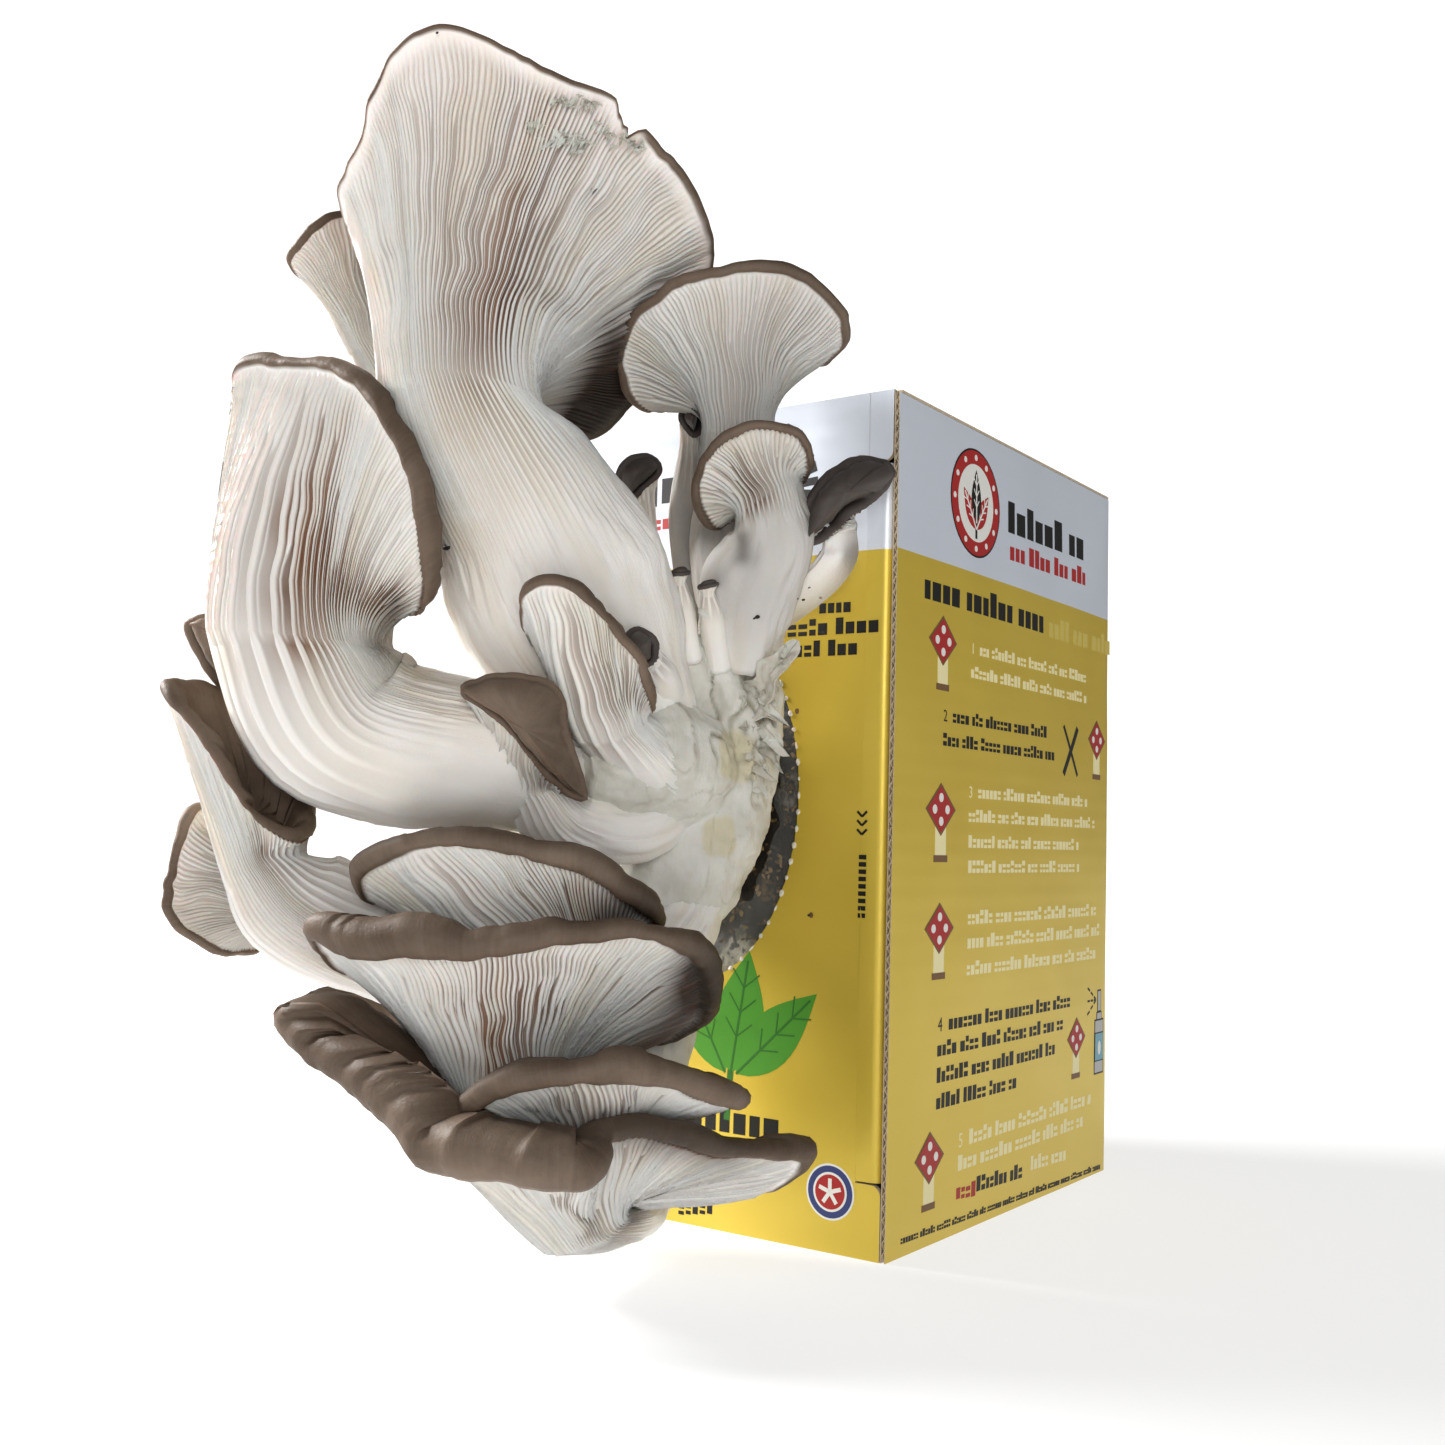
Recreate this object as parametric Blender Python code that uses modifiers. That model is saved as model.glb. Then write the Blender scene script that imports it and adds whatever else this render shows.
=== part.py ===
"""Oyster mushroom grow kit.

A carton of pressed sawdust stands upright on its base. A flush of oyster mushrooms grows out of
the window in its front and stands well clear of it. The origin is the centre of the carton's
base, the front faces -Y and +Z is up. Sizes below are in millimetres, the model is in metres.
"""

import bmesh
import bpy
import numpy as np
from math import pi, radians
from mathutils import Matrix

MM = 0.001

# Carton, a folded blank of E-flute board
CARTON_WIDTH = 140.0
CARTON_DEPTH = 166.0
CARTON_HEIGHT = 250.0
BOARD = 1.6
FRONT = -CARTON_DEPTH / 2
SIDE = CARTON_WIDTH / 2

# Window in the front lid, an ellipse
WINDOW_CENTRE_Z = 131.0
WINDOW_HALF_WIDTH = 38.0
WINDOW_HALF_HEIGHT = 57.0

# Slot between the front lid and the right wall, where the lid's flap is tucked in
TUCK_SLOT = 1.0
TUCK_SLOT_DEPTH = 4.0
EAR_HEIGHT = 21.0

# Bag of clear film and the block inside it
CLEARANCE = 0.5
FILM = 0.5
GAP = 0.3
BAG_HEIGHT = 236.0
BLOCK_HEIGHT = 216.0
MOUTH_HALF_WIDTH = 29.0
MOUTH_HALF_HEIGHT = 46.0
MOUTH_CENTRE = (2.0, 134.0)
BAG_ROUNDING = 5.0

# Grown pieces are parted by a little more than the gap, as their faces are flat between points
GROWN_GAP = 0.36

# Fineness of the soft shapes: points round a cap or stem, and steps along them
AROUND_LARGE = 14
AROUND_SMALL = 9
LARGE_CAP = 36.0
STEM_STEPS = 5
GILL_STEPS = (0.0, 0.4, 0.75, 1.0)
TOP_STEPS = (0.8, 0.4)

# The plug of growth that fills the bag's mouth, behind the fused foot
FOOT_HALF_WIDTH = 27.0
FOOT_HALF_HEIGHT = 44.0
FOOT_FRONT = -106.0

# The way the cluster's broad side faces, level and square to the line of sight from its front right
BROADSIDE = (0.82, 0.57, 0.0)


def round_rim(centre, facing, half_sizes, points=10):
    """Points round the oval rim of a small cap that faces one way."""
    facing = unit(np.array(facing, float))
    broad = level_start(facing, np.array(BROADSIDE))
    deep = np.cross(facing, broad)
    turns = np.arange(points)[:, None] / points * 2 * pi
    return centre + half_sizes[0] * np.cos(turns) * broad + half_sizes[1] * np.sin(turns) * deep


def clear_scene():
    for thing in list(bpy.data.objects):
        bpy.data.objects.remove(thing)


def collection(name):
    group = bpy.data.collections.new(name)
    bpy.context.scene.collection.children.link(group)
    return group


def material(name, colour, roughness):
    finish = bpy.data.materials.new(name)
    finish.use_nodes = True
    shader = finish.node_tree.nodes["Principled BSDF"]
    shader.inputs["Base Color"].default_value = (*colour, 1.0)
    shader.inputs["Roughness"].default_value = roughness
    shader.inputs["Metallic"].default_value = 0.0
    return finish


def unit(vectors):
    lengths = np.linalg.norm(vectors, axis=-1, keepdims=True)
    return vectors / np.maximum(lengths, 1e-9)


def smooth_curve(points, steps, closed=False):
    """Points of a Catmull-Rom curve, at places counted in control points from its start."""
    points = np.asarray(points, float)
    count = len(points)
    steps = np.asarray(steps, float)
    if closed:
        first = np.floor(steps).astype(int)
        corners = [points[(first + k) % count] for k in (-1, 0, 1, 2)]
    else:
        first = np.clip(np.floor(steps).astype(int), 0, count - 2)
        ends = np.vstack([2 * points[0] - points[1], points, 2 * points[-1] - points[-2]])
        corners = [ends[first + k] for k in (0, 1, 2, 3)]
    part = (steps - first)[:, None]
    a, b, c, d = corners
    return 0.5 * (2 * b + (c - a) * part + (2 * a - 5 * b + 4 * c - d) * part ** 2
                  + (3 * b - a - 3 * c + d) * part ** 3)


def rim_curve(rim, shares):
    """Points on the closed curve through a cap's rim, at shares of its whole length."""
    fine = np.linspace(0, len(rim), 40 * len(rim) + 1)
    lengths = np.linalg.norm(np.diff(smooth_curve(rim, fine % len(rim), True), axis=0), axis=1)
    run = np.concatenate([[0], np.cumsum(lengths)])
    return smooth_curve(rim, np.interp(shares, run / run[-1], fine) % len(rim), True)


def sections(stations, steps, heading=None):
    """Centres, headings and half sizes of a stem's cross sections."""
    stations = np.asarray(stations, float)
    last = len(stations) - 1
    places = np.linspace(0, last, steps)
    centres = smooth_curve(stations[:, :3], places)
    ahead = smooth_curve(stations[:, :3], np.minimum(places + 0.01, last))
    behind = smooth_curve(stations[:, :3], np.maximum(places - 0.01, 0))
    along = unit(ahead - behind)
    if heading is not None:
        turn = np.clip(places - (last - 1), 0, 1)[:, None] ** 1.5
        along = unit(along * (1 - turn) + heading * turn)
    return centres, along, smooth_curve(stations[:, 3:5], places)


def oval(centre, along, start, angles, half_sizes):
    """Points of an oval section, counted as angles from the direction called start."""
    across = np.cross(along, start)
    rays = np.cos(angles)[:, None] * start + np.sin(angles)[:, None] * across
    broad = np.array(BROADSIDE)
    broad = unit(broad - along * (broad @ along))
    deep = np.cross(along, broad)
    reach = 1 / np.sqrt((rays @ broad / half_sizes[0]) ** 2 + (rays @ deep / half_sizes[1]) ** 2)
    return centre + rays * reach[:, None]


def level_start(along, start):
    return unit(start - along * (start @ along))


def stem_rings(stations, around, steps):
    """Rings of a plain stalk or lump with no cap."""
    centres, along, halves = sections(stations, steps)
    start = np.array(BROADSIDE)
    angles = np.arange(around) / around * 2 * pi
    rings = []
    for centre, way, half in zip(centres, along, halves):
        start = level_start(way, start)
        rings.append(oval(centre, way, start, angles, half))
    return rings


def mushroom_rings(stem, rim, flare=0.9, out=1.2, edge=3.0, flesh=7.0):
    """Rings of a mushroom, from the foot of its stem, up the gills, round the rim and over the cap.

    flare and out say how long the gills follow the stem and how far they spread at the rim.
    edge and flesh are the cap's thickness at its rim and at its middle.
    """
    rim = np.asarray(rim, float)
    span = np.linalg.norm(rim.max(axis=0) - rim.min(axis=0))
    around = AROUND_LARGE if span > LARGE_CAP else AROUND_SMALL
    lip = rim_curve(rim, np.arange(around) / around)
    neck = np.array(stem[-1][:3], float)
    below = np.array(stem[-2][:3], float)
    heading = unit(0.8 * unit(lip.mean(axis=0) - neck) + 0.2 * unit(neck - below))
    centres, along, halves = sections(stem, STEM_STEPS, heading)

    # Each rim point gets the place on the neck that faces it
    spokes = lip - neck
    start = level_start(heading, spokes[0])
    side = np.cross(heading, start)
    turns = np.unwrap(np.arctan2(spokes @ side, spokes @ start))
    sense = np.sign(turns[-1] - turns[0])
    steps = np.diff(np.append(turns, turns[0] + sense * 2 * pi)) * sense
    steps = np.maximum(steps, 0.35 * 2 * pi / around)
    steps *= 2 * pi / steps.sum()
    angles = turns[0] + sense * np.concatenate([[0], np.cumsum(steps)[:-1]])

    rings = []
    for centre, way, half in zip(centres[::-1], along[::-1], halves[::-1]):
        start = level_start(way, start)
        rings.insert(0, oval(centre, way, start, angles, half))
    throat = rings.pop()

    # The gills leave the neck along the stem and bend out to the rim
    spokes = lip - throat
    length = np.linalg.norm(spokes, axis=1)[:, None]
    leave = unit(unit(throat - rings[-1]) + heading) * length * flare
    rise = (spokes @ heading)[:, None] * heading
    arrive = out * (spokes - rise) + 0.5 * rise
    gills = []
    for s in GILL_STEPS:
        gills.append((2 * s ** 3 - 3 * s ** 2 + 1) * throat + (s ** 3 - 2 * s ** 2 + s) * leave
                     + (3 * s ** 2 - 2 * s ** 3) * lip + (s ** 3 - s ** 2) * arrive)
    gills = np.array(gills)
    rings.extend(gills)

    # The flesh lies behind the gills, away from the stem
    around_way = np.roll(gills, -1, axis=1) - np.roll(gills, 1, axis=1)
    inward = unit(np.cross(around_way, np.gradient(gills, axis=0)))
    if np.sum(inward[0] * (neck - gills[0])) < 0:
        inward = -inward
    for _ in range(3):
        inward = unit(inward + 0.5 * (np.roll(inward, 1, axis=1) + np.roll(inward, -1, axis=1)))
    outward = unit(gills[-1] - gills[-2])
    rings.append(gills[-1] + inward[-1] * edge / 2 + outward * edge * 0.55)
    rings.append(gills[-1] + inward[-1] * edge)
    for s in TOP_STEPS:
        place = np.interp(s, GILL_STEPS, range(len(GILL_STEPS)))
        low = int(place)
        part = place - low
        under = gills[low] * (1 - part) + gills[low + 1] * part
        way = unit(inward[low] * (1 - part) + inward[low + 1] * part)
        rings.append(under + way * (edge + (flesh - edge) * (1 - s) ** 1.2))
    rings[-1] = 0.7 * rings[-1] + 0.3 * rings[-1].mean(axis=0)
    return rings


def lofted(name, rings, group, finish=None):
    """A closed body over rings of points, with a fan of triangles at each end."""
    origin = rings[0].mean(axis=0)
    shape = bmesh.new()
    rows = [[shape.verts.new((point - origin) * MM) for point in ring] for ring in rings]
    count = len(rows[0])
    for low, high in zip(rows, rows[1:]):
        for k in range(count):
            n = (k + 1) % count
            shape.faces.new((low[k], low[n], high[n], high[k]))
    for row in (rows[0], rows[-1]):
        middle = shape.verts.new(np.mean([v.co for v in row], axis=0))
        for k in range(count):
            shape.faces.new((row[k], row[(k + 1) % count], middle))
    # Flat triangles, so that a piece and its grown copy keep an even gap
    bmesh.ops.triangulate(shape, faces=shape.faces)
    bmesh.ops.recalc_face_normals(shape, faces=shape.faces)
    return placed(name, shape, origin, group, finish)


def placed(name, shape, location, group, finish=None):
    """An object of the finished shape, or a cutter if it has no finish."""
    mesh = bpy.data.meshes.new(name)
    shape.to_mesh(mesh)
    shape.free()
    thing = bpy.data.objects.new(name, mesh)
    thing.location = [value * MM for value in location]
    group.objects.link(thing)
    if finish:
        mesh.materials.append(finish)
    else:
        as_cutter(thing)
    return thing


def as_cutter(thing):
    thing.hide_render = True
    thing.display_type = "WIRE"


def box(name, low, high, group, finish=None):
    low, high = np.array(low, float), np.array(high, float)
    shape = bmesh.new()
    bmesh.ops.create_cube(shape, size=1.0)
    bmesh.ops.scale(shape, verts=shape.verts, vec=(high - low) * MM)
    return placed(name, shape, (low + high) / 2, group, finish)


def oval_plug(name, centre, half_width, half_height, back, front, group, sides=32):
    """A cutter shaped as an oval rod that lies along Y, from back to front."""
    shape = bmesh.new()
    bmesh.ops.create_cone(shape, cap_ends=True, segments=sides, radius1=MM, radius2=MM, depth=MM)
    bmesh.ops.rotate(shape, verts=shape.verts, matrix=Matrix.Rotation(radians(90), 3, "X"))
    bmesh.ops.scale(shape, verts=shape.verts, vec=(half_width, abs(front - back), half_height))
    return placed(name, shape, (centre[0], (front + back) / 2, centre[1]), group)


def cut(thing, cutter, operation="DIFFERENCE"):
    step = thing.modifiers.new(operation.title(), "BOOLEAN")
    step.operation = operation
    step.solver = "EXACT"
    step.object = cutter


def cut_all(thing, pieces):
    """Cut several pieces away in one go."""
    group = bpy.data.collections.new(thing.name + ".neighbours")
    cutters.children.link(group)
    for piece in pieces:
        group.objects.link(piece)
    step = thing.modifiers.new("Difference", "BOOLEAN")
    step.operation = "DIFFERENCE"
    step.solver = "EXACT"
    step.operand_type = "COLLECTION"
    step.collection = group


def rounded(thing, radius, segments=2):
    step = thing.modifiers.new("Rounded edges", "BEVEL")
    step.width = radius * MM
    step.segments = segments
    step.limit_method = "ANGLE"
    step.angle_limit = radians(50)


def grown_copy(thing, amount):
    """A cutter with the uncut shape of a grown piece, larger all round by amount."""
    copy = bpy.data.objects.new(thing.name + ".grown", thing.data.copy())
    copy.location = thing.location
    cutters.objects.link(copy)
    as_cutter(copy)
    step = copy.modifiers.new("Grown", "DISPLACE")
    step.strength = amount * MM
    step.mid_level = 0.0
    return copy


# The fused foot of the cluster, which all stems rise from. Each station of a stem or lump is its
# centre, its half width along the broadside and its half depth.
CLUSTER_LUMPS = [
    [
        (26, -98, 191, 10, 7), (27, -101, 176, 15, 10), (26, -103, 158, 19, 13),
        (20, -105, 135, 22, 16), (15, -110, 111, 22, 17), (9, -118, 91, 20, 17),
        (6, -123, 65, 21, 16), (7, -127, 43, 18, 15), (12, -124, 24, 13, 11)],
    [
        (16, -108, 129, 15, 13), (17, -123, 137, 22, 18), (14, -138, 140, 21, 18),
        (7, -150, 137, 15, 14)],
]

# The mushrooms. stem: stations from its foot up to the neck. rim: points round the cap's edge.
MUSHROOMS = {
    "giant_mushroom": dict(
        stem=[
            (18, -110, 131, 12, 11), (16, -130, 150, 26, 20), (4, -155, 183, 31, 25),
            (2, -172, 207, 26, 22), (-3, -187, 229, 22, 18)],
        rim=[
            (9, -212, 317), (20, -198, 313), (26, -185, 310), (33, -171, 309), (34, -156, 302),
            (38, -141, 291), (33, -128, 280), (21, -120, 264), (2, -122, 246), (-12, -128, 235),
            (-36, -139, 240), (-53, -158, 254), (-47, -181, 271), (-27, -210, 281),
            (-15, -218, 289), (-2, -219, 306)],
        flare=0.8, edge=2.5, flesh=8, colour=(0.78, 0.7, 0.62)),
    "giant_back_lobe": dict(
        stem=[
            (-6, -99, 153, 9, 9), (-38, -126, 198, 9, 8), (-58, -146, 237, 8, 7),
            (-66, -164, 264, 7, 6)],
        rim=[
            (-70, -192, 279), (-65, -194, 282), (-59, -193, 287), (-56, -188, 291),
            (-54, -180, 294), (-54, -168, 295), (-62, -156, 292), (-73, -153, 286),
            (-79, -162, 282), (-77, -173, 279), (-73, -184, 278)],
        edge=2, flesh=4, colour=(0.7, 0.62, 0.56)),
    "left_upper_mushroom": dict(
        stem=[
            (14, -115, 128, 11, 10), (-1, -146, 134, 19, 16), (-16, -174, 138, 24, 20),
            (-32, -195, 145, 25, 20), (-40, -207, 167, 24, 19)],
        rim=[
            (-59, -216, 234), (-55, -218, 239), (-39, -215, 239), (-24, -212, 235),
            (-12, -210, 226), (-3, -208, 213), (1, -205, 198), (0, -200, 183), (-4, -197, 175),
            (-14, -195, 175), (-31, -186, 188), (-51, -184, 207), (-65, -189, 219),
            (-67, -202, 225)],
        edge=5, flesh=8, colour=(0.78, 0.7, 0.62)),
    "left_tip_mushroom": dict(
        stem=[
            (-7, -102, 126, 9, 9), (-52, -129, 127, 9, 9), (-84, -153, 139, 8, 8),
            (-94, -171, 154, 7, 7)],
        rim=[
            (-82, -211, 171), (-80, -210, 174), (-79, -204, 176), (-76, -192, 176),
            (-75, -181, 169), (-76, -183, 157), (-78, -194, 153), (-79, -205, 159)],
        edge=3, flesh=5, colour=(0.42, 0.34, 0.28)),
    "left_middle_mushroom": dict(
        stem=[
            (1, -115, 90, 14, 12), (-12, -139, 82, 16, 14), (-26, -161, 82, 18, 15),
            (-39, -183, 89, 18, 15), (-47, -197, 97, 17, 14), (-52, -205, 107, 11, 11)],
        rim=[
            (-67, -228, 152), (-57, -228, 145), (-50, -225, 136), (-47, -220, 127),
            (-43, -213, 119), (-41, -204, 115), (-52, -190, 124), (-72, -186, 142),
            (-80, -198, 152), (-76, -215, 155)],
        edge=4, flesh=6, colour=(0.74, 0.66, 0.58)),
    "left_lower_mushroom": dict(
        stem=[
            (-2, -110, 75, 10, 9), (-26, -127, 66, 11, 10), (-48, -147, 71, 12, 10),
            (-65, -164, 84, 12, 10), (-73, -178, 96, 9, 9)],
        rim=[
            (-72, -212, 122), (-70, -217, 114), (-72, -219, 101), (-73, -217, 93), (-74, -209, 87),
            (-77, -195, 82), (-87, -177, 85), (-93, -171, 106), (-88, -188, 120)],
        edge=3, flesh=5, colour=(0.78, 0.7, 0.62)),
    "bottom_back_mushroom": dict(
        stem=[
            (-2, -110, 58, 10, 9), (-20, -120, 51, 11, 11), (-36, -132, 43, 11, 10),
            (-46, -150, 50, 10, 9)],
        rim=[
            (-60, -183, 68), (-64, -174, 71), (-62, -161, 73), (-54, -149, 73), (-43, -145, 68),
            (-41, -155, 61), (-44, -169, 62), (-50, -180, 67)],
        edge=3.5, flesh=5, colour=(0.4, 0.32, 0.26)),
    "upper_shelf_mushroom": dict(
        stem=[
            (16, -111, 100, 14, 13), (18, -123, 87, 13, 12), (21, -152, 77, 11, 9)],
        rim=[
            (-16, -202, 103), (-11, -204, 108), (-1, -203, 113), (12, -197, 115), (25, -189, 114),
            (34, -180, 109), (41, -170, 104), (43, -158, 97), (31, -144, 94), (10, -139, 96),
            (-15, -150, 99), (-27, -171, 101), (-22, -192, 99)],
        edge=4, flesh=6, colour=(0.78, 0.7, 0.62)),
    "middle_shelf_mushroom": dict(
        stem=[
            (8, -128, 37, 15, 13), (7, -146, 35, 14, 13), (5, -166, 47, 14, 12)],
        rim=[
            (-22, -214, 91), (-8, -213, 89), (8, -207, 89), (23, -199, 89), (35, -190, 91),
            (44, -180, 93), (51, -166, 93), (53, -152, 87), (50, -142, 78), (41, -135, 69),
            (26, -134, 63), (7, -139, 67), (-15, -152, 74), (-26, -176, 80), (-27, -198, 82)],
        edge=5, flesh=7, colour=(0.78, 0.7, 0.62)),
    "lower_shelf_mushroom": dict(
        stem=[
            (8, -121, 43, 11, 10), (19, -131, 34, 10, 9), (25, -145, 34, 10, 7),
            (29, -157, 38, 9, 6)],
        rim=[
            (17, -198, 47), (20, -199, 51), (26, -198, 56), (34, -195, 59), (43, -189, 61),
            (51, -180, 61), (57, -169, 60), (59, -157, 55), (61, -144, 50), (51, -136, 47),
            (33, -135, 43), (18, -143, 42), (11, -163, 41), (10, -183, 41)],
        edge=5, flesh=6, colour=(0.55, 0.47, 0.4)),
    "bottom_mushroom": dict(
        stem=[
            (6, -117, 39, 10, 9), (8, -115, 24, 10, 9), (15, -129, 14, 10, 7),
            (25, -161, 17, 12, 8)],
        rim=[
            (-33, -211, 66), (-12, -210, 57), (6, -207, 50), (19, -206, 39), (38, -198, 37),
            (50, -186, 40), (53, -163, 44), (57, -144, 39), (65, -118, 34), (54, -116, 24),
            (41, -123, 20), (26, -139, 21), (14, -158, 30), (-1, -173, 45), (-18, -186, 62),
            (-30, -199, 70)],
        edge=4, flesh=6, colour=(0.62, 0.53, 0.46)),
    "centre_mushroom": dict(
        stem=[
            (21, -115, 133, 9, 8), (24, -135, 136, 11, 10), (24, -155, 147, 10, 9)],
        rim=[
            (18, -185, 174), (21, -188, 178), (27, -186, 180), (35, -182, 177), (41, -175, 169),
            (42, -166, 160), (40, -158, 152), (31, -149, 154), (19, -149, 165), (13, -156, 173),
            (13, -168, 171), (15, -178, 169)],
        edge=3, flesh=5, colour=(0.78, 0.7, 0.62)),
    "brown_cap_mushroom": dict(
        stem=[
            (19, -116, 128, 10, 9), (13, -136, 120, 13, 11), (7, -154, 122, 12, 9),
            (6, -165, 133, 8, 7)],
        rim=[
            (6, -191, 153), (11, -191, 156), (16, -187, 158), (21, -175, 155), (20, -168, 141),
            (23, -162, 127), (18, -171, 132), (14, -183, 143)],
        edge=2.5, flesh=4, colour=(0.5, 0.42, 0.35)),
    "trumpet_mushroom": dict(
        stem=[
            (28, -101, 180, 11, 8), (26, -102, 197, 13, 10), (29, -106, 217, 12, 10),
            (37, -117, 235, 10, 9)],
        rim=[
            (12, -140, 254), (22, -146, 262), (36, -146, 267), (50, -142, 269), (63, -133, 270),
            (70, -122, 264), (68, -111, 257), (56, -104, 254), (40, -96, 262), (22, -97, 264),
            (11, -106, 254), (8, -117, 243), (8, -130, 244)],
        edge=3.5, flesh=6, colour=(0.78, 0.7, 0.62)),
    "right_small_mushroom": dict(
        stem=[
            (32, -107, 169, 11, 10), (40, -114, 188, 14, 12), (49, -117, 201, 12, 10),
            (51, -123, 212, 10, 8)],
        rim=[
            (36, -135, 210), (41, -141, 217), (49, -143, 223), (58, -140, 227), (64, -132, 227),
            (65, -124, 221), (57, -115, 218), (43, -108, 224), (34, -109, 219), (33, -116, 208),
            (34, -125, 205)],
        edge=3, flesh=5, colour=(0.78, 0.7, 0.62)),
    "right_dark_mushroom": dict(
        stem=[
            (26, -101, 176, 11, 9), (43, -97, 185, 10, 9), (58, -94, 190, 10, 9),
            (64, -96, 200, 9, 8)],
        rim=[
            (53, -109, 204), (59, -115, 213), (71, -112, 220), (77, -103, 222), (73, -94, 219),
            (64, -89, 213), (54, -96, 204)],
        edge=3, flesh=5, colour=(0.26, 0.23, 0.22)),
    "grey_tip_mushroom": dict(
        stem=[
            (26.5, -122.5, 145, 7, 6), (31, -139.5, 155, 5, 5), (32, -149, 162.5, 4, 4)],
        rim=round_rim((33, -155, 167), (-0.3, -0.4, 0.85), (7, 6)),
        edge=2, flesh=4, colour=(0.3, 0.29, 0.31)),
    "knob_mushroom": dict(
        stem=[
            (15.5, -101.5, 184, 7, 6), (11, -104.5, 212.5, 6.5, 5.5),
            (15.5, -111, 233.5, 3.5, 3.5)],
        rim=round_rim((15.5, -112.5, 239), (-0.3, -0.3, 0.9), (6, 5)),
        edge=2, flesh=4, colour=(0.22, 0.2, 0.2)),
    "band_pin": dict(
        stem=[
            (11.5, -104, 181, 5, 5), (0, -109, 201, 4.5, 4), (-2, -112, 218.5, 3, 3)],
        rim=round_rim((-2, -113.5, 223.5), (0, -0.3, 0.95), (7, 6)),
        edge=2, flesh=4.5, colour=(0.2, 0.18, 0.18)),
    "twin_pin_left": dict(
        stem=[
            (26.5, -124.5, 173, 5, 5), (28.5, -130.5, 182.5, 3, 3), (29.5, -133.5, 188, 1.6, 1.6)],
        rim=round_rim((30, -134.5, 190), (0, -0.3, 0.95), (2.9, 2.7)),
        edge=1, flesh=1.8, colour=(0.5, 0.45, 0.4)),
    "twin_pin_right": dict(
        stem=[
            (33, -120, 170.5, 5, 5), (35.5, -126, 179.5, 3, 3), (36.5, -129.5, 185, 1.6, 1.6)],
        rim=round_rim((37, -130.5, 187), (0, -0.3, 0.95), (2.9, 2.7)),
        edge=1, flesh=1.8, colour=(0.5, 0.45, 0.4)),
}

# Where two grown pieces press together, the second gives way to the first
PRESSED_TOGETHER = [
    ("giant_mushroom", [
        "left_upper_mushroom", "trumpet_mushroom", "brown_cap_mushroom", "centre_mushroom",
        "grey_tip_mushroom", "twin_pin_left", "twin_pin_right"]),
    ("left_upper_mushroom", ["brown_cap_mushroom", "centre_mushroom"]),
    ("trumpet_mushroom", ["right_small_mushroom", "right_dark_mushroom", "knob_mushroom"]),
    ("middle_shelf_mushroom", ["bottom_mushroom", "left_middle_mushroom", "lower_shelf_mushroom"]),
    ("bottom_mushroom", ["lower_shelf_mushroom"]),
    ("left_middle_mushroom", ["upper_shelf_mushroom", "left_lower_mushroom", "left_tip_mushroom"]),
    ("brown_cap_mushroom", ["centre_mushroom"]),
    ("centre_mushroom", ["grey_tip_mushroom"]),
    ("right_small_mushroom", ["right_dark_mushroom", "twin_pin_right"]),
    ("left_lower_mushroom", ["bottom_back_mushroom"]),
    ("knob_mushroom", ["band_pin"]),
    ("twin_pin_left", ["twin_pin_right"]),
]


clear_scene()
kit = collection("Oyster mushroom grow kit")
cutters = collection("Cutters")

# The carton: board walls round a hollow, the window, and the slot where the flap tucks in
printed_board = material("Printed board", (0.72, 0.55, 0.09), 0.35)
carton = box("carton", (-SIDE, FRONT, 0), (SIDE, -FRONT, CARTON_HEIGHT), kit, printed_board)
hollow = box("carton.hollow", (BOARD - SIDE, FRONT + BOARD, BOARD),
             (SIDE - BOARD, -FRONT - BOARD, CARTON_HEIGHT - BOARD), cutters)
window = oval_plug("carton.window", (0, WINDOW_CENTRE_Z), WINDOW_HALF_WIDTH, WINDOW_HALF_HEIGHT,
                   FRONT + 2 * BOARD, FRONT - 2 * BOARD, cutters, sides=48)
slot = box("carton.slot", (SIDE - BOARD - TUCK_SLOT, FRONT - BOARD, EAR_HEIGHT),
           (SIDE - BOARD, FRONT + TUCK_SLOT_DEPTH, CARTON_HEIGHT - EAR_HEIGHT), cutters)
for cutter in (hollow, window, slot):
    cut(carton, cutter)

# The bag: a thin shell with its cut mouth, and the block of sawdust in it
clear_film = material("Clear film", (0.62, 0.62, 0.60), 0.15)
inner_side = SIDE - BOARD - CLEARANCE
inner_front = FRONT + BOARD + CLEARANCE
bag = box("grow_bag", (-inner_side, inner_front, BOARD + GAP),
          (inner_side, -inner_front, BAG_HEIGHT), kit, clear_film)
rounded(bag, BAG_ROUNDING)
bag_hollow = box("grow_bag.hollow", (FILM - inner_side, inner_front + FILM, BOARD + GAP + FILM),
                 (inner_side - FILM, -inner_front - FILM, BAG_HEIGHT - FILM), cutters)
rounded(bag_hollow, BAG_ROUNDING - FILM)
mouth = oval_plug("grow_bag.mouth", MOUTH_CENTRE, MOUTH_HALF_WIDTH, MOUTH_HALF_HEIGHT,
                  inner_front + 2 * FILM, inner_front - 2 * FILM, cutters)
cut(bag, bag_hollow)
cut(bag, mouth)

sawdust = material("Grown-through sawdust", (0.10, 0.07, 0.05), 0.8)
block_side = inner_side - FILM - GAP
block_front = inner_front + FILM + GAP
block = box("substrate_block", (-block_side, block_front, BOARD + 2 * GAP + FILM),
            (block_side, -block_front, BLOCK_HEIGHT), kit, sawdust)
rounded(block, BAG_ROUNDING - FILM)

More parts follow.
